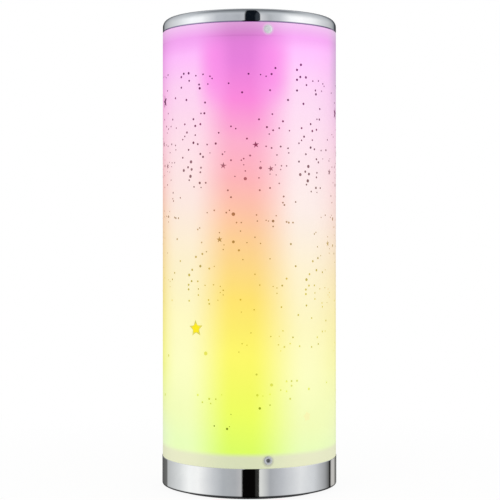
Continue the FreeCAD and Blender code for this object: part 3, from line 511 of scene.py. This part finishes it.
def moulded(name, colour, deep, grain_size, roughness, grain_depth=0.02, ior=1.5):
    """Moulded or extruded plastic and rubber: a slight drift of colour, and a fine grain from the tool."""
    material, add, place = new_material(name, {"IOR": ior})
    drift = add("TexNoise", {"Vector": place, "Scale": per_metre(11), "Detail": 3.0})
    tone = add("ValToRGB", [drift], [(0.3, deep), (0.7, colour)])
    grain = add("TexNoise", {"Vector": place, "Scale": per_metre(grain_size), "Detail": 3.0})
    gloss = add("MapRange", {0: grain, 3: roughness - 0.06, 4: roughness + 0.06})
    return dress(material, add, tone, gloss, grain, 0.5, grain_depth)


def bare_metal(name, colour, deep, roughness, grain_size, stretch=(1.0, 1.0, 1.0)):
    """Plated, turned or extruded metal: fine lines or specks in its gloss, drawn out as it was worked."""
    material, add, place = new_material(name, {"Metallic": 1.0})
    drawn = add("Mapping", {"Vector": place, "Scale": stretch})
    lines = add(
        "TexNoise", {"Vector": drawn, "Scale": per_metre(grain_size), "Detail": 4.0, "Roughness": 0.65}
    )
    cast = add("TexNoise", {"Vector": place, "Scale": per_metre(7), "Detail": 3.0})
    tone = add("ValToRGB", [cast], [(0.32, deep), (0.68, colour)])
    gloss = add("MapRange", [lines, 0.25, 0.75, roughness * 0.7, roughness * 1.3])
    return dress(material, add, tone, gloss, lines, 0.3, 0.01)


def from_axis(add, place):
    """How far a place is from the lamp's axis."""
    return add("VectorMath", [add("VectorMath", [place, (1.0, 1.0, 0.0)], **TIMES)], operation="LENGTH")


def sunk_nickel(name, glow, recess):
    # Satin nickel on the sunk screws: painted shade in the recess, and the bright tube's light as painted
    # glow
    material, add, place = new_material(name, {"Metallic": 1.0})
    out = from_axis(add, place)
    # Painted shade: darker towards the recess, by the share given
    face = add("MapRange", [out, (TUBE_RADIUS - 0.25) * MM, (TUBE_RADIUS - 0.05) * MM, recess, 1.0])
    fine = add("TexNoise", {"Vector": place, "Scale": per_metre(0.25), "Detail": 3.0})
    tone = add("ValToRGB", [fine], [(0.3, "#DFE0E3"), (0.7, "#F0F1F3")])
    tone = add("VectorMath", {0: tone, "Scale": face}, operation="SCALE")
    gloss = add("MapRange", [fine, 0.25, 0.75, 0.42, 0.55])
    # Painted glow: the faces give off some of the tube's light
    painted_glow = {"Emission Color": tone, "Emission Strength": glow}
    feed(material, {"Base Color": tone, "Roughness": gloss, **painted_glow})
    return material


def zinc_steel():
    # Zinc-plated sheet: crystals of the zinc in slightly different greys, matt, with faint scuffs
    material, add, place = new_material("zinc_plated_steel", {"Metallic": 1.0})
    spangle = add("TexVoronoi", {"Vector": place, "Scale": per_metre(5)}).outputs["Color"]
    grey = add("RGBToBW", [spangle])
    tone = add("ValToRGB", [grey], [(0.2, "#B4B7BA"), (0.8, "#C6C9CB")])
    scuff = add("Mapping", {"Vector": place, "Scale": (1.0, 0.1, 1.0)})
    scuff = add("TexNoise", {"Vector": scuff, "Scale": per_metre(0.8), "Detail": 3.0})
    mixed = add("Math", [grey, scuff], operation="ADD")
    gloss = add("MapRange", [mixed, 0.4, 1.4, 0.3, 0.48])
    return dress(material, add, tone, gloss, scuff, 0.2, 0.01)


def cell_foam():
    # Closed-cell foam: matt black, pitted with cells of just under a millimetre
    material, add, place = new_material("closed_cell_foam", {"IOR": 1.45, "Specular IOR Level": 0.3})
    cells = add("TexVoronoi", {"Vector": place, "Scale": per_metre(0.9)})
    tone = add("ValToRGB", [cells], [(0.1, "#1B1B1D"), (0.7, "#38383A")])
    gloss = add("MapRange", {0: cells, 3: 0.95, 4: 0.8})
    return dress(material, add, tone, gloss, cells, 0.6, 0.15)


# Spacing of the light chips and their distance from the axis, and the copper pads between them
CHIP_PITCH, CHIP_FACE = 17.5, 12.0
PAD_BOTTOM, PAD_HEIGHT = 31.75, 1.6


def strip_laminate():
    # White solder mask over a flexible circuit: satin, with copper pads between the chips
    material, add, place = new_material("white_solder_mask", {"Roughness": 0.35, "IOR": 1.5})
    height = add("SeparateXYZ", [place]).outputs["Z"]
    row = add("Math", [height, PAD_BOTTOM * MM], **MINUS)
    row = add("Math", [row, CHIP_PITCH * MM], operation="MODULO")
    pad = add("Math", [row, PAD_HEIGHT * MM], operation="LESS_THAN")
    mottle = add("TexNoise", {"Vector": place, "Scale": per_metre(3), "Detail": 2.0})
    white = add("ValToRGB", [mottle], [(0.3, "#EDEDE8"), (0.7, "#F5F5F1")])
    tone = add("Mix", {0: pad, 6: white, 7: "#C9895A"}, **COLOURS)
    return dress(material, add, tone, None, pad, 0.3, 0.03)


def chip_plastic():
    # A light chip: a white moulded cup filled level with clear resin over yellow phosphor
    material, add, place = new_material("phosphor_resin", {"Roughness": 0.25, "IOR": 1.52})
    out = from_axis(add, place)
    resin = add("MapRange", [out, (CHIP_FACE + 0.2) * MM, CHIP_FACE * MM])
    speck = add("TexNoise", {"Vector": place, "Scale": per_metre(0.3), "Detail": 2.0})
    yellow = add("ValToRGB", [speck], [(0.3, "#E9C845"), (0.7, "#F4DA68")])
    feed(material, {"Base Color": add("Mix", {0: resin, 6: "#F1F0EA", 7: yellow}, **COLOURS)})
    return material


def board_laminate():
    # Glass-fibre board under green solder mask: copper tracks show through as paler, slightly raised bands
    material, add, place = new_material("green_solder_mask", {"Roughness": 0.3, "IOR": 1.5})
    tracks = add(
        "TexBrick",
        {"Vector": place, "Scale": 1.0, "Mortar Size": 0.35 * MM, "Brick Width": 6 * MM,
         "Row Height": 1.9 * MM},
    ).outputs["Fac"]
    weave = add("TexNoise", {"Vector": place, "Scale": per_metre(0.8), "Detail": 2.0})
    mask = add("ValToRGB", [weave], [(0.3, "#0F4A2B"), (0.7, "#145634")])
    tone = add("Mix", {0: tracks, 6: mask, 7: "#2C7A4C"}, **COLOURS)
    return dress(material, add, tone, None, tracks, 0.4, 0.04)


FINISHES = {
    "chrome_plate": chrome_plate(),
    "satin_tube": satin_tube(),
    # Rolled polycarbonate film: milky, even, faintly mottled
    "diffuser_film": moulded("milky_film", "#F6F5F1", "#EFEEE9", 4.0, 0.5, 0.005, 1.58),
    # Moulded ABS with a fine spark-eroded grain: even satin, a shade warm
    "collar_plastic": moulded("cream_abs", "#EDEBDF", "#E6E4D7", 0.35, 0.5, 0.015, 1.53),
    "white_abs": moulded("white_abs", "#F2F2EF", "#EAEAE6", 0.35, 0.45, 0.015, 1.53),
    # Nickel plate on turned screws: warm grey, satin, with fine turning marks
    "nickel_screws": bare_metal("nickel_plate", "#CFD0D4", "#BFC1C6", 0.3, 0.25),
    "zinc_steel": zinc_steel(),
    "foam": cell_foam(),
    # Moulded rubber: matt black, slightly chalky
    "grommet_rubber": moulded("moulded_rubber", "#2A2A2B", "#212122", 0.25, 0.75, 0.02, 1.52),
    # Extruded aluminium: pale, with fine die lines along the post
    "post_aluminium": bare_metal("extruded_aluminium", "#DADCDD", "#CFD1D3", 0.38, 0.2, (1.0, 1.0, 0.02)),
    "strip_laminate": strip_laminate(),
    "chip_plastic": chip_plastic(),
    "board_laminate": board_laminate(),
    # Glass-filled nylon: matt black with a dry, slightly mottled skin
    "black_plastic": moulded("glass_filled_nylon", "#2B2B2D", "#222224", 0.3, 0.55, 0.02, 1.53),
    # Turned brass: yellow, bright, with rings from the tool
    "brass_contact": bare_metal("turned_brass", "#E4C47A", "#D3AE60", 0.22, 0.15, (1.0, 6.0, 1.0)),
    # Vinyl wire jacket: smooth, softly glossy
    "wire_jacket": moulded("vinyl_jacket", "#3A3A3D", "#313134", 0.6, 0.4, 0.01, 1.54),
    # Drawn spring wire: bright, with lines along the wire
    "spring_steel": bare_metal("drawn_spring_wire", "#BFC1C4", "#A9ABAF", 0.28, 0.12),
    # Drawn aluminium can: pale, brushed round
    "can_aluminium": bare_metal("drawn_aluminium_can", "#D4D6D9", "#C6C8CC", 0.33, 0.2, (1.0, 1.0, 5.0)),
    # Moulded ABS with a polished face: glossy black, with the faintest orange peel
    "button_plastic": moulded("polished_black_abs", "#1F1F21", "#19191B", 2.5, 0.16, 0.01, 1.53),
}


# Meshes

# Points nearer than this are one point, or lie on a ring, and faces nearer than this lie in a wall.
WELD, NEAR_RING, NEAR_WALL = 0.002, 0.01, 0.3
# Faces round each part
BASE_STEPS, TUBE_STEPS, FOOT_STEPS, BUTTON_STEPS, SCREW_STEPS = 256, 288, 160, 48, 24
# Height and number of the rows of faces on each side of a hole
BASE_PITCH, BASE_ROWS = 1.55, 4
TUBE_PITCH, TUBE_ROWS = 1.3, 3
SCREW_TURNS = [SHADE_SCREW_TURN + third * math.tau / 3 for third in range(3)]


def add_piece(bm, name, slot, replaced=(), body="lamp", material=None, crease=32):
    """Makes a bmesh a piece of the lamp, smooth but for edges sharper than the crease in degrees."""
    bmesh.ops.remove_doubles(bm, verts=bm.verts, dist=WELD * MM)
    bmesh.ops.recalc_face_normals(bm, faces=bm.faces)
    for face in bm.faces:
        face.smooth = True
    for edge in bm.edges:
        edge.smooth = edge.calc_face_angle(0.0) < math.radians(crease)
    piece = mesh_object(bm, name)
    piece.data.materials.append(material or FINISHES[slot])
    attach(piece, body)
    if replaced:
        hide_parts(*replaced)
    return piece


def spin_outline(corners, steps, closed=True, start=0.0):
    """An outline of (radius, height) corners in millimetres, spun about the lamp's axis."""
    bm = bmesh.new()
    verts = [bm.verts.new((radius * MM, 0.0, height * MM)) for radius, height in corners]
    edges = [bm.edges.new(pair) for pair in zip(verts, verts[1:])]
    if closed:
        edges.append(bm.edges.new((verts[-1], verts[0])))
    bmesh.ops.rotate(bm, verts=verts, cent=(0, 0, 0), matrix=Matrix.Rotation(start, 3, "Z"))
    bmesh.ops.spin(
        bm, geom=verts + edges, cent=(0, 0, 0), axis=(0, 0, 1), angle=math.tau, steps=steps, use_merge=True
    )
    bmesh.ops.remove_doubles(bm, verts=bm.verts, dist=WELD * MM)
    return bm


def round_ring(bm, radius, height, size, segments):
    """Rounds the circular edge of this radius at this height."""
    near = NEAR_RING * MM

    def on_ring(vert):
        return abs(vert.co.xy.length - radius * MM) < near and abs(vert.co.z - height * MM) < near

    ring = [edge for edge in bm.edges if all(on_ring(vert) for vert in edge.verts)]
    bmesh.ops.bevel(
        bm, geom=ring, offset=size * MM, offset_type="OFFSET", segments=segments, profile=0.5, affect="EDGES",
        material=-1,
    )


def loop_of(verts):
    """The edges that meet in these points."""
    return list({edge for vert in verts for edge in vert.link_edges})


def pierce(bm, walls, radii, side, height, facing, half_turn, half_rise):
    """A round hole through a double wall. While it is cut, the lamp is turned so that it looks along +Y."""
    turn = Matrix.Rotation(math.pi / 2 - facing, 3, "Z")
    bmesh.ops.rotate(bm, verts=bm.verts, cent=(0, 0, 0), matrix=turn)
    rims = []
    for wall, radius in zip(walls, radii):
        middle = math.asin(side / wall)

        def in_block(face):
            centre = face.calc_center_median()
            return (
                centre.y > 0
                and abs(centre.xy.length - wall * MM) < NEAR_WALL * MM
                and abs(math.atan2(centre.x, centre.y) - middle) < half_turn
                and abs(centre.z - height * MM) < half_rise * MM
                and abs(face.normal.z) < 0.5
            )

        block = {face for face in bm.faces if in_block(face)}
        edges = {edge for face in block for edge in face.edges}
        border = [edge for edge in edges if len(block.intersection(edge.link_faces)) == 1]
        bmesh.ops.delete(bm, geom=list(block), context="FACES")
        place = Vector((side, math.sqrt(wall**2 - side**2), height)) * MM
        circle = bmesh.ops.create_circle(
            bm, segments=len(border), radius=radius * MM,
            matrix=Matrix.Translation(place) @ Matrix.Rotation(math.pi / 2, 4, "X"),
        )["verts"]
        rim = loop_of(circle)
        bmesh.ops.bridge_loops(bm, edges=border + rim)
        for vert in circle:
            vert.co.y = math.sqrt((wall * MM) ** 2 - vert.co.x**2)
        rims += rim
    bmesh.ops.bridge_loops(bm, edges=rims)
    bmesh.ops.rotate(bm, verts=bm.verts, cent=(0, 0, 0), matrix=turn.inverted())


def rows_about(middle, pitch, count):
    """Heights for rows of faces, this many on each side of a hole's middle."""
    return [middle + pitch * k for k in range(-count, count + 1)]


def base_cup():
    """The drawn base: wall, deck and rim, with the holes for the inlet and the button at the back."""
    inner = METAL_RADIUS - SHEET_WALL
    rows = rows_about(PORT_HEIGHT, BASE_PITCH, BASE_ROWS)
    # Rows beside the roundings, which keep them off the flat parts
    over_rim, under_deck, under_edge, inside_edge = 0.2, 0.3, 0.7, 0.8
    guard = [RIM_GAP + RIM_ROUND + over_rim] + rows + [DECK_UNDER - under_deck]
    outside = [RIM_GAP] + guard + [BASE_TOP - under_edge, BASE_TOP]
    corners = [(METAL_RADIUS, height) for height in outside]
    corners += [(METAL_RADIUS - inside_edge, BASE_TOP), (WIRE_HOLE, BASE_TOP), (WIRE_HOLE, DECK_UNDER)]
    corners += [(inner, height) for height in [DECK_UNDER] + guard[::-1] + [RIM_GAP]]
    bm = spin_outline(corners, BASE_STEPS)
    round_ring(bm, METAL_RADIUS, BASE_TOP, BASE_ROUND, 4)
    round_ring(bm, METAL_RADIUS, RIM_GAP, RIM_ROUND, 5)
    round_ring(bm, inner, RIM_GAP, RIM_INSIDE_ROUND, 2)
    bmesh.ops.recalc_face_normals(bm, faces=bm.faces)
    block = math.radians(BASE_ROWS * 360 / BASE_STEPS), BASE_ROWS * BASE_PITCH
    for side, radius in ((-PORT_SIDE, INLET_HOLE), (PORT_SIDE, BUTTON_HOLE)):
        pierce(bm, (METAL_RADIUS, inner), (radius, radius), side, PORT_HEIGHT, math.pi / 2, *block)
    add_piece(bm, "base_cup", "chrome_plate", ["base_shell"])


def cap_cup():
    """The drawn cap, open below, with its rounded shoulder."""
    inner = CAP_RADIUS - SHEET_WALL
    top_inside = OVERALL_HEIGHT - SHEET_WALL
    shoulder = CAP_RADIUS - CAP_ROUND
    # Rows beside the roundings, which keep them off the flat parts
    beside, below = 0.4, 0.3
    corners = [(across, OVERALL_HEIGHT) for across in (0.0, shoulder / 2, shoulder - beside, CAP_RADIUS)]
    corners += [
        (CAP_RADIUS, OVERALL_HEIGHT - CAP_ROUND - below), (CAP_RADIUS, CAP_BOTTOM + CAP_EDGE_ROUND + below),
        (CAP_RADIUS, CAP_BOTTOM), (inner, CAP_BOTTOM), (inner, top_inside), (0.0, top_inside),
    ]
    bm = spin_outline(corners, BASE_STEPS, closed=False)
    round_ring(bm, CAP_RADIUS, OVERALL_HEIGHT, CAP_ROUND, 16)
    round_ring(bm, inner, top_inside, CAP_ROUND - SHEET_WALL, 6)
    round_ring(bm, CAP_RADIUS, CAP_BOTTOM, CAP_EDGE_ROUND, 5)
    add_piece(bm, "cap_cup", "chrome_plate", ["top_cap"])


def tube_wall():
    """The satin tube, with its countersunk holes."""
    lower = rows_about(LOWER_SCREW_HEIGHT, TUBE_PITCH, TUBE_ROWS)
    upper = rows_about(UPPER_SCREW_HEIGHT, TUBE_PITCH, TUBE_ROWS)
    heights = [BASE_TOP] + lower + upper + [CAP_BOTTOM]
    corners = [(TUBE_RADIUS, height) for height in heights]
    corners += [(TUBE_INNER, height) for height in heights[::-1]]
    bm = spin_outline(corners, TUBE_STEPS, start=SHADE_SCREW_TURN)
    bmesh.ops.recalc_face_normals(bm, faces=bm.faces)
    block = math.radians(TUBE_ROWS * 360 / TUBE_STEPS), TUBE_ROWS * TUBE_PITCH
    radii = (SCREW_HEAD + SCREW_PLAY, SCREW_SHANK + SCREW_PLAY)
    for height in (LOWER_SCREW_HEIGHT, UPPER_SCREW_HEIGHT):
        for turn in SCREW_TURNS:
            pierce(bm, (TUBE_RADIUS, TUBE_INNER), radii, 0.0, height, turn, *block)
    add_piece(bm, "tube_wall", "satin_tube", ["shade_tube"])


def screw_mesh(bm, mouth):
    """A countersunk screw with its face at the origin, looking along +Z. Its recess opens by mouth."""
    tip = SCREW_FLATS / math.sqrt(3)
    bmesh.ops.create_circle(bm, segments=6, radius=tip * mouth * MM)
    bmesh.ops.subdivide_edges(bm, edges=bm.edges[:], cuts=SCREW_STEPS // 6 - 1)
    recess = bm.edges[:]
    rim = loop_of(bmesh.ops.create_circle(bm, segments=SCREW_STEPS, radius=SCREW_HEAD * MM)["verts"])
    bmesh.ops.bridge_loops(bm, edges=recess + rim)
    cone = (SCREW_SHANK / SCREW_HEAD, SCREW_SHANK - SCREW_HEAD)
    shank = (1.0, SCREW_HEAD - SCREW_SHANK - SCREW_LENGTH)
    slope = (1 / mouth, -MOUTH_DEPTH)
    for edges, steps in ((recess, [slope, (1.0, MOUTH_DEPTH - RECESS_DEPTH)]), (rim, [cone, shank])):
        for scale, rise in steps:
            grown = bmesh.ops.extrude_edge_only(bm, edges=edges)["geom"]
            verts = [part for part in grown if isinstance(part, bmesh.types.BMVert)]
            edges = [part for part in grown if isinstance(part, bmesh.types.BMEdge)]
            bmesh.ops.scale(bm, verts=verts, vec=(scale, scale, 1.0))
            bmesh.ops.translate(bm, verts=verts, vec=(0.0, 0.0, rise * MM))
        bmesh.ops.contextual_create(bm, geom=edges)
    bmesh.ops.bevel(
        bm, geom=rim, offset=SCREW_EDGE * MM, offset_type="OFFSET", segments=2, profile=0.5, affect="EDGES",
        material=-1,
    )


def shade_screws(name, height, node, material, mouth):
    """Three countersunk screws round the tube, flush with it."""
    bm = bmesh.new()
    for turn in SCREW_TURNS:
        single = bmesh.new()
        screw_mesh(single, mouth)
        place = Matrix.Rotation(turn, 4, "Z") @ Matrix.Translation((TUBE_RADIUS * MM, 0.0, height * MM))
        bmesh.ops.transform(single, matrix=place @ Matrix.Rotation(math.pi / 2, 4, "Y"), verts=single.verts)
        part = bpy.data.meshes.new("screw")
        single.to_mesh(part)
        single.free()
        bm.from_mesh(part)
        bpy.data.meshes.remove(part)
    add_piece(bm, name, "nickel_screws", [node], material=material)


def foot_foam():
    """The foam ring that the lamp stands on."""
    corners = [(FOOT_INNER, 0.0), (FOOT_OUTER, 0.0), (FOOT_OUTER, FOOT_HEIGHT), (FOOT_INNER, FOOT_HEIGHT)]
    bm = spin_outline(corners, FOOT_STEPS)
    for radius in (FOOT_OUTER, FOOT_INNER):
        round_ring(bm, radius, 0.0, FOOT_ROUND, 3)
    piece = add_piece(bm, "foot_foam", "foam", ["foot_ring"])


def button_face():
    """The button in the back of the base, with a shallow dish for the fingertip."""
    dish = ((0.0, 0.45), (1.5, 0.4), (2.7, 0.2), (3.35, 0.0))
    corners = [(radius, BUTTON_FACE - depth) for radius, depth in dish]
    corners += [
        (BUTTON_RADIUS, BUTTON_FACE), (BUTTON_RADIUS, STOP_FRONT), (BUTTON_STOP, STOP_FRONT),
        (BUTTON_STOP, STOP_BACK), (0.0, STOP_BACK),
    ]
    bm = spin_outline(corners, BUTTON_STEPS, closed=False)
    round_ring(bm, BUTTON_RADIUS, BUTTON_FACE, BUTTON_ROUND, 4)
    place = Matrix.Translation((PORT_SIDE * MM, 0.0, PORT_HEIGHT * MM))
    bmesh.ops.transform(bm, matrix=place @ Matrix.Rotation(-math.pi / 2, 4, "X"), verts=bm.verts)
    add_piece(bm, "button_face", "button_plastic", ["mode_button"], body="button")


def return_spring():
    """The spring behind the button, which the button squeezes against the switch as it goes in."""
    bm = bmesh.new()
    bm.from_mesh(frame["nodes"]["button_spring"].data)
    piece = add_piece(bm, "return_spring", "spring_steel", ["button_spring"])
    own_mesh(piece)


# Print on the tube

# Dots in one repeat of the print, by their radius: degrees round from its middle, and height
DOTS = {
    0.35: (
        (-25.5, 226), (-15.5, 226.5), (7, 220), (16.5, 218), (13, 212), (17, 211.5), (12, 181.5),
        (-22.5, 152), (-20, 130), (-5, 122.5), (19, 106.5), (8.5, 68), (-11.5, 56), (-12.5, 48),
        (-17.5, 68.5),
    ),
    0.4: (
        (10.5, 275.5), (7, 276.5), (12.5, 238), (-3.5, 218), (20, 215), (-9, 210.5), (-32, 203.5),
        (-12.5, 188.5), (-27.5, 187), (17, 185), (5, 181.5), (10.5, 182), (-5, 180.5), (-5.5, 175),
        (-19, 174), (3.5, 171), (-16, 166), (-28, 161.5), (-29, 139.5), (-18.5, 139), (15, 139),
        (17.5, 138), (-23, 140), (-16.5, 133.5), (17.5, 134.5), (-18.5, 135), (20, 97),
    ),
    0.45: (
        (-24, 274.5), (-27, 271), (-8.5, 241.5), (26, 240.5), (10.5, 230), (25.5, 226), (17.5, 224.5),
        (-5, 221), (20.5, 217.5), (24, 217.5), (-2.5, 214), (6, 209.5), (19, 206), (4.5, 185.5),
        (-8, 180.5), (15, 178), (-33, 177), (-1.5, 167.5), (7, 167), (-31.5, 167.5), (-16.5, 163),
        (-4, 156.5), (13, 157), (-34, 137), (1, 109), (21.5, 110), (-1.5, 101), (-6.5, 96.5), (20, 71.5),
        (13, 69), (-25, 62.5), (-22.5, 48),
    ),
    0.5: (
        (-36, 277), (-30.5, 277.5), (-25.5, 276), (-13, 271), (-32, 252), (14.5, 251), (-11.5, 243),
        (19, 242), (-19.5, 239), (-36.5, 238), (35, 234.5), (33, 232.5), (-27.5, 231.5), (14, 229),
        (25, 229), (-17, 225), (-3.5, 222), (-37.5, 204), (21.5, 193.5), (30.5, 194), (-22.5, 188.5),
        (-14.5, 187), (-34.5, 176), (3.5, 147), (6.5, 140), (-16.5, 136.5), (-34, 133), (-26.5, 130),
        (20.5, 125.5), (3, 124), (13.5, 106.5), (-4.5, 102), (18.5, 101), (26.5, 101.5), (13, 62),
        (-21.5, 65.5),
    ),
    0.55: (
        (-0.5, 277), (13, 266.5), (6, 247.5), (15, 240.5), (-1.5, 235), (20, 230), (0.5, 224), (-11.5, 221),
        (39, 205.5), (-28.5, 206.5), (13, 203), (-13.5, 201.5), (6.5, 201.5), (-11.5, 197), (22, 197.5),
        (22.5, 192), (24, 181), (28.5, 180.5), (-34.5, 142), (21, 139.5), (-26, 127.5), (28.5, 105.5),
        (24, 70.5), (-31, 63),
    ),
    0.6: (
        (16.5, 281), (14, 277), (39, 271), (-33.5, 271), (-4.5, 265), (-29, 259), (21.5, 246.5),
        (11, 242.5), (35, 242.5), (-34.5, 232), (38.5, 225.5), (33, 220.5), (-32, 216.5), (-32.5, 213.5),
        (25.5, 180.5), (-26, 150.5), (30.5, 152), (24, 144), (-5.5, 130.5), (39, 126), (32.5, 120),
        (22.5, 99.5), (33.5, 99.5), (4.5, 82), (24, 77), (27.5, 77), (27.5, 74), (26.5, 65.5),
    ),
    0.65: (
        (31.5, 267), (25, 260.5), (-29.5, 252), (-38, 248.5), (-32.5, 245), (37, 237), (-21.5, 232),
        (-32.5, 225.5), (-30.5, 223.5), (27, 166.5), (-31, 160), (-39, 149.5), (-39.5, 142), (38.5, 136.5),
        (38.5, 133.5), (31.5, 77), (-26, 65.5),
    ),
    0.7: (
        (31.5, 280.5), (34, 276), (31.5, 274), (36.5, 258.5), (-36.5, 244), (38, 214), (-36, 158),
        (5, 68.5), (-34.5, 67.5),
    ),
    0.75: ((34.5, 284), (38.5, 276), (-33, 268.5), (-38, 233), (-33, 206.5), (-6.5, 162.5), (-32.5, 152)),
    0.78: ((15, 181.5),),
    0.8: ((-39.5, 215.5), (-14, 46.5)),
    0.85: ((7, 216), (39, 143), (6.5, 60)),
    0.9: ((34, 212), (14, 75)),
    0.95: ((-40, 220.5), (-40.5, 211), (-2.5, 209), (-10, 168)),
    1.05: ((-10, 186),),
}
# Dots that come only once: degrees, height, radius
LONE_DOTS = (
    (43.5, 98.5, 0.6), (50, 100, 0.6), (49, 104.5, 0.6), (54.5, 108, 0.6), (58, 108, 0.5), (59, 115, 0.6),
    (43.5, 117.5, 0.5), (60, 73.5, 0.6), (41, 71, 0.8), (-65.5, 91, 0.9), (-73, 64, 0.9),
)
# Stars of each repeat: degrees, height, radius, tilt in degrees
STARS = ((4, 231, 2.3, 8), (-16.5, 217.5, 2.3, -6), (13.5, 215.5, 2.1, 14), (-19, 169.5, 2.2, 4))
REPEAT = 80.6
REPEAT_RISE = 3.0
DOT_SIDES = 10
# The ink of the dots has spread, but not in the middle of a repeat at these heights.
DOT_SPREAD, MIDDLE, SHARP_HEIGHTS = 1.15, 20, ((0, 62), (92, 170))
# In front, the repeats beside the middle one have dots only between these heights.
FRONT_HALF, LOWEST_LEFT, LOWEST_RIGHT, HIGHEST = 85, 124, 66, 283
# Where the print ends at the back, in degrees
LAST_DOT, LAST_STAR = 178, 176
LARGE_STARS = ((-73, 262.5, 4.6, 12), (77.5, 255, 4.6, -10), (172, 257, 4.6, 6))
YELLOW_STARS = ((-36, 111, 3.5, 4), (142, 110, 3.5, -8))
YELLOW_OUTLINE, OUTLINE_WAIST, YELLOW_WAIST = 2.2, 0.46, 0.7
PALE_STARS = ((39.5, 53, 3.3, 10), (-139, 57, 3.3, 5))
YELLOW_SPECKS = ((-28.5, 95, 1.3), (150, 93, 1.3))
INK_UNDER = 0.05
INK_PROUD = 0.06


def dot_shape(bm, radius):
    """A flat ten-sided dot, in the plane across +Z."""
    return bmesh.ops.create_circle(bm, cap_ends=True, segments=DOT_SIDES, radius=radius * MM)["verts"]


def star_shape(bm, radius, tilt, waist=0.38):
    """A dot drawn in to a star with five points. The waist is the share of the radius between them."""
    ring = dot_shape(bm, radius)
    ordered = sorted(ring, key=lambda vert: math.atan2(vert.co.y, vert.co.x))
    for vert in ordered[::2]:
        vert.co *= waist
    # The first point that stays long is a tenth of a turn on: the shape is turned until one point looks up.
    first = math.atan2(ordered[1].co.y, ordered[1].co.x)
    upright = Matrix.Rotation(math.pi / 2 - first + math.radians(tilt), 3, "Z")
    bmesh.ops.rotate(bm, verts=ring, cent=(0, 0, 0), matrix=upright)
    return ring


def lay_on_tube(bm, verts, degrees, height):
    """Moves a flat shape to its place on the tube laid out flat: the front at 0 degrees, the right at 90."""
    place = (math.radians(degrees) * TUBE_RADIUS * MM, height * MM, 0.0)
    bmesh.ops.translate(bm, verts=verts, vec=place)


def add_print(bm, name, material, proud=INK_PROUD):
    """Gives the flat shapes their thickness and rolls them onto the tube."""
    flat = bm.verts[:]
    grown = bmesh.ops.extrude_face_region(bm, geom=bm.faces[:], use_keep_orig=True)["geom"]
    lifted = [part for part in grown if isinstance(part, bmesh.types.BMVert)]
    for verts, radius in ((flat, TUBE_RADIUS - INK_UNDER), (lifted, TUBE_RADIUS + proud)):
        for vert in verts:
            turn = vert.co.x / (TUBE_RADIUS * MM)
            vert.co = (radius * MM * math.sin(turn), -radius * MM * math.cos(turn), vert.co.y)
    add_piece(bm, name, "satin_tube", material=material)


def star_print():
    """Dots and small stars, printed round the tube in repeats that sink a little to the right."""
    bm = bmesh.new()
    stars = list(LARGE_STARS)
    dots = [(*spot, radius) for radius, spots in DOTS.items() for spot in spots]
    for repeat in range(-2, 3):
        round_by, down_by = repeat * REPEAT, repeat * REPEAT_RISE
        lowest = LOWEST_RIGHT if repeat > 0 else LOWEST_LEFT
        for degrees, height, radius in dots if repeat else dots + list(LONE_DOTS):
            place, level = degrees + round_by, height - down_by
            missing = repeat and abs(place) < FRONT_HALF and not lowest < level < HIGHEST
            if abs(place) < LAST_DOT and not missing:
                sharp = abs(degrees) <= MIDDLE and any(low <= level <= high for low, high in SHARP_HEIGHTS)
                lay_on_tube(bm, dot_shape(bm, radius if sharp else radius * DOT_SPREAD), place, level)
        for degrees, height, radius, tilt in STARS:
            stars.append((degrees + round_by, height - down_by, radius, tilt))
    for degrees, height, radius, tilt in stars:
        if abs(degrees) < LAST_STAR:
            lay_on_tube(bm, star_shape(bm, radius, tilt), degrees, height)
    for degrees, height, radius, tilt in YELLOW_STARS:
        lay_on_tube(bm, star_shape(bm, radius + YELLOW_OUTLINE, tilt, OUTLINE_WAIST), degrees, height)
    add_print(bm, "star_print", print_ink())


def yellow_print():
    """The few larger stars in clear yellow with a speck by each, and the pale ones low down."""
    bm = bmesh.new()
    for degrees, height, radius, tilt in YELLOW_STARS + PALE_STARS:
        lay_on_tube(bm, star_shape(bm, radius, tilt, YELLOW_WAIST), degrees, height)
    for degrees, height, radius in YELLOW_SPECKS:
        lay_on_tube(bm, dot_shape(bm, radius), degrees, height)
    add_print(bm, "lit_stars", lit_ink(), 2 * INK_PROUD)


# The lamp

scene.view_settings.view_transform = "Standard"
set_camera()
set_world()
set_lights()
set_floor()

slot_of = {part["node"]: part["material_slot"] for part in frame["record"]["subparts"]}
for name, node in frame["nodes"].items():
    for place in node.material_slots:
        place.material = FINISHES[slot_of[name]]
    if not node.material_slots:
        node.data.materials.append(FINISHES[slot_of[name]])

base_cup()
cap_cup()
tube_wall()
# Shaded and lit copies of one nickel: deep painted shade in the lower screws' recesses and faint painted
# glow, strong painted glow on the upper screws
shaded_nickel_copy, glowing_nickel_copy = sunk_nickel("nickel_painted_shaded", 0.06, 0.3), sunk_nickel("nickel_painted_glowing", 0.29, 0.96)
shade_screws("lower_screws", LOWER_SCREW_HEIGHT, "lower_shade_screws", shaded_nickel_copy, 1.6)
shade_screws("upper_screws", UPPER_SCREW_HEIGHT, "upper_shade_screws", glowing_nickel_copy, 1.1)
foot_foam()
button_face()
return_spring()
star_print()
yellow_print()
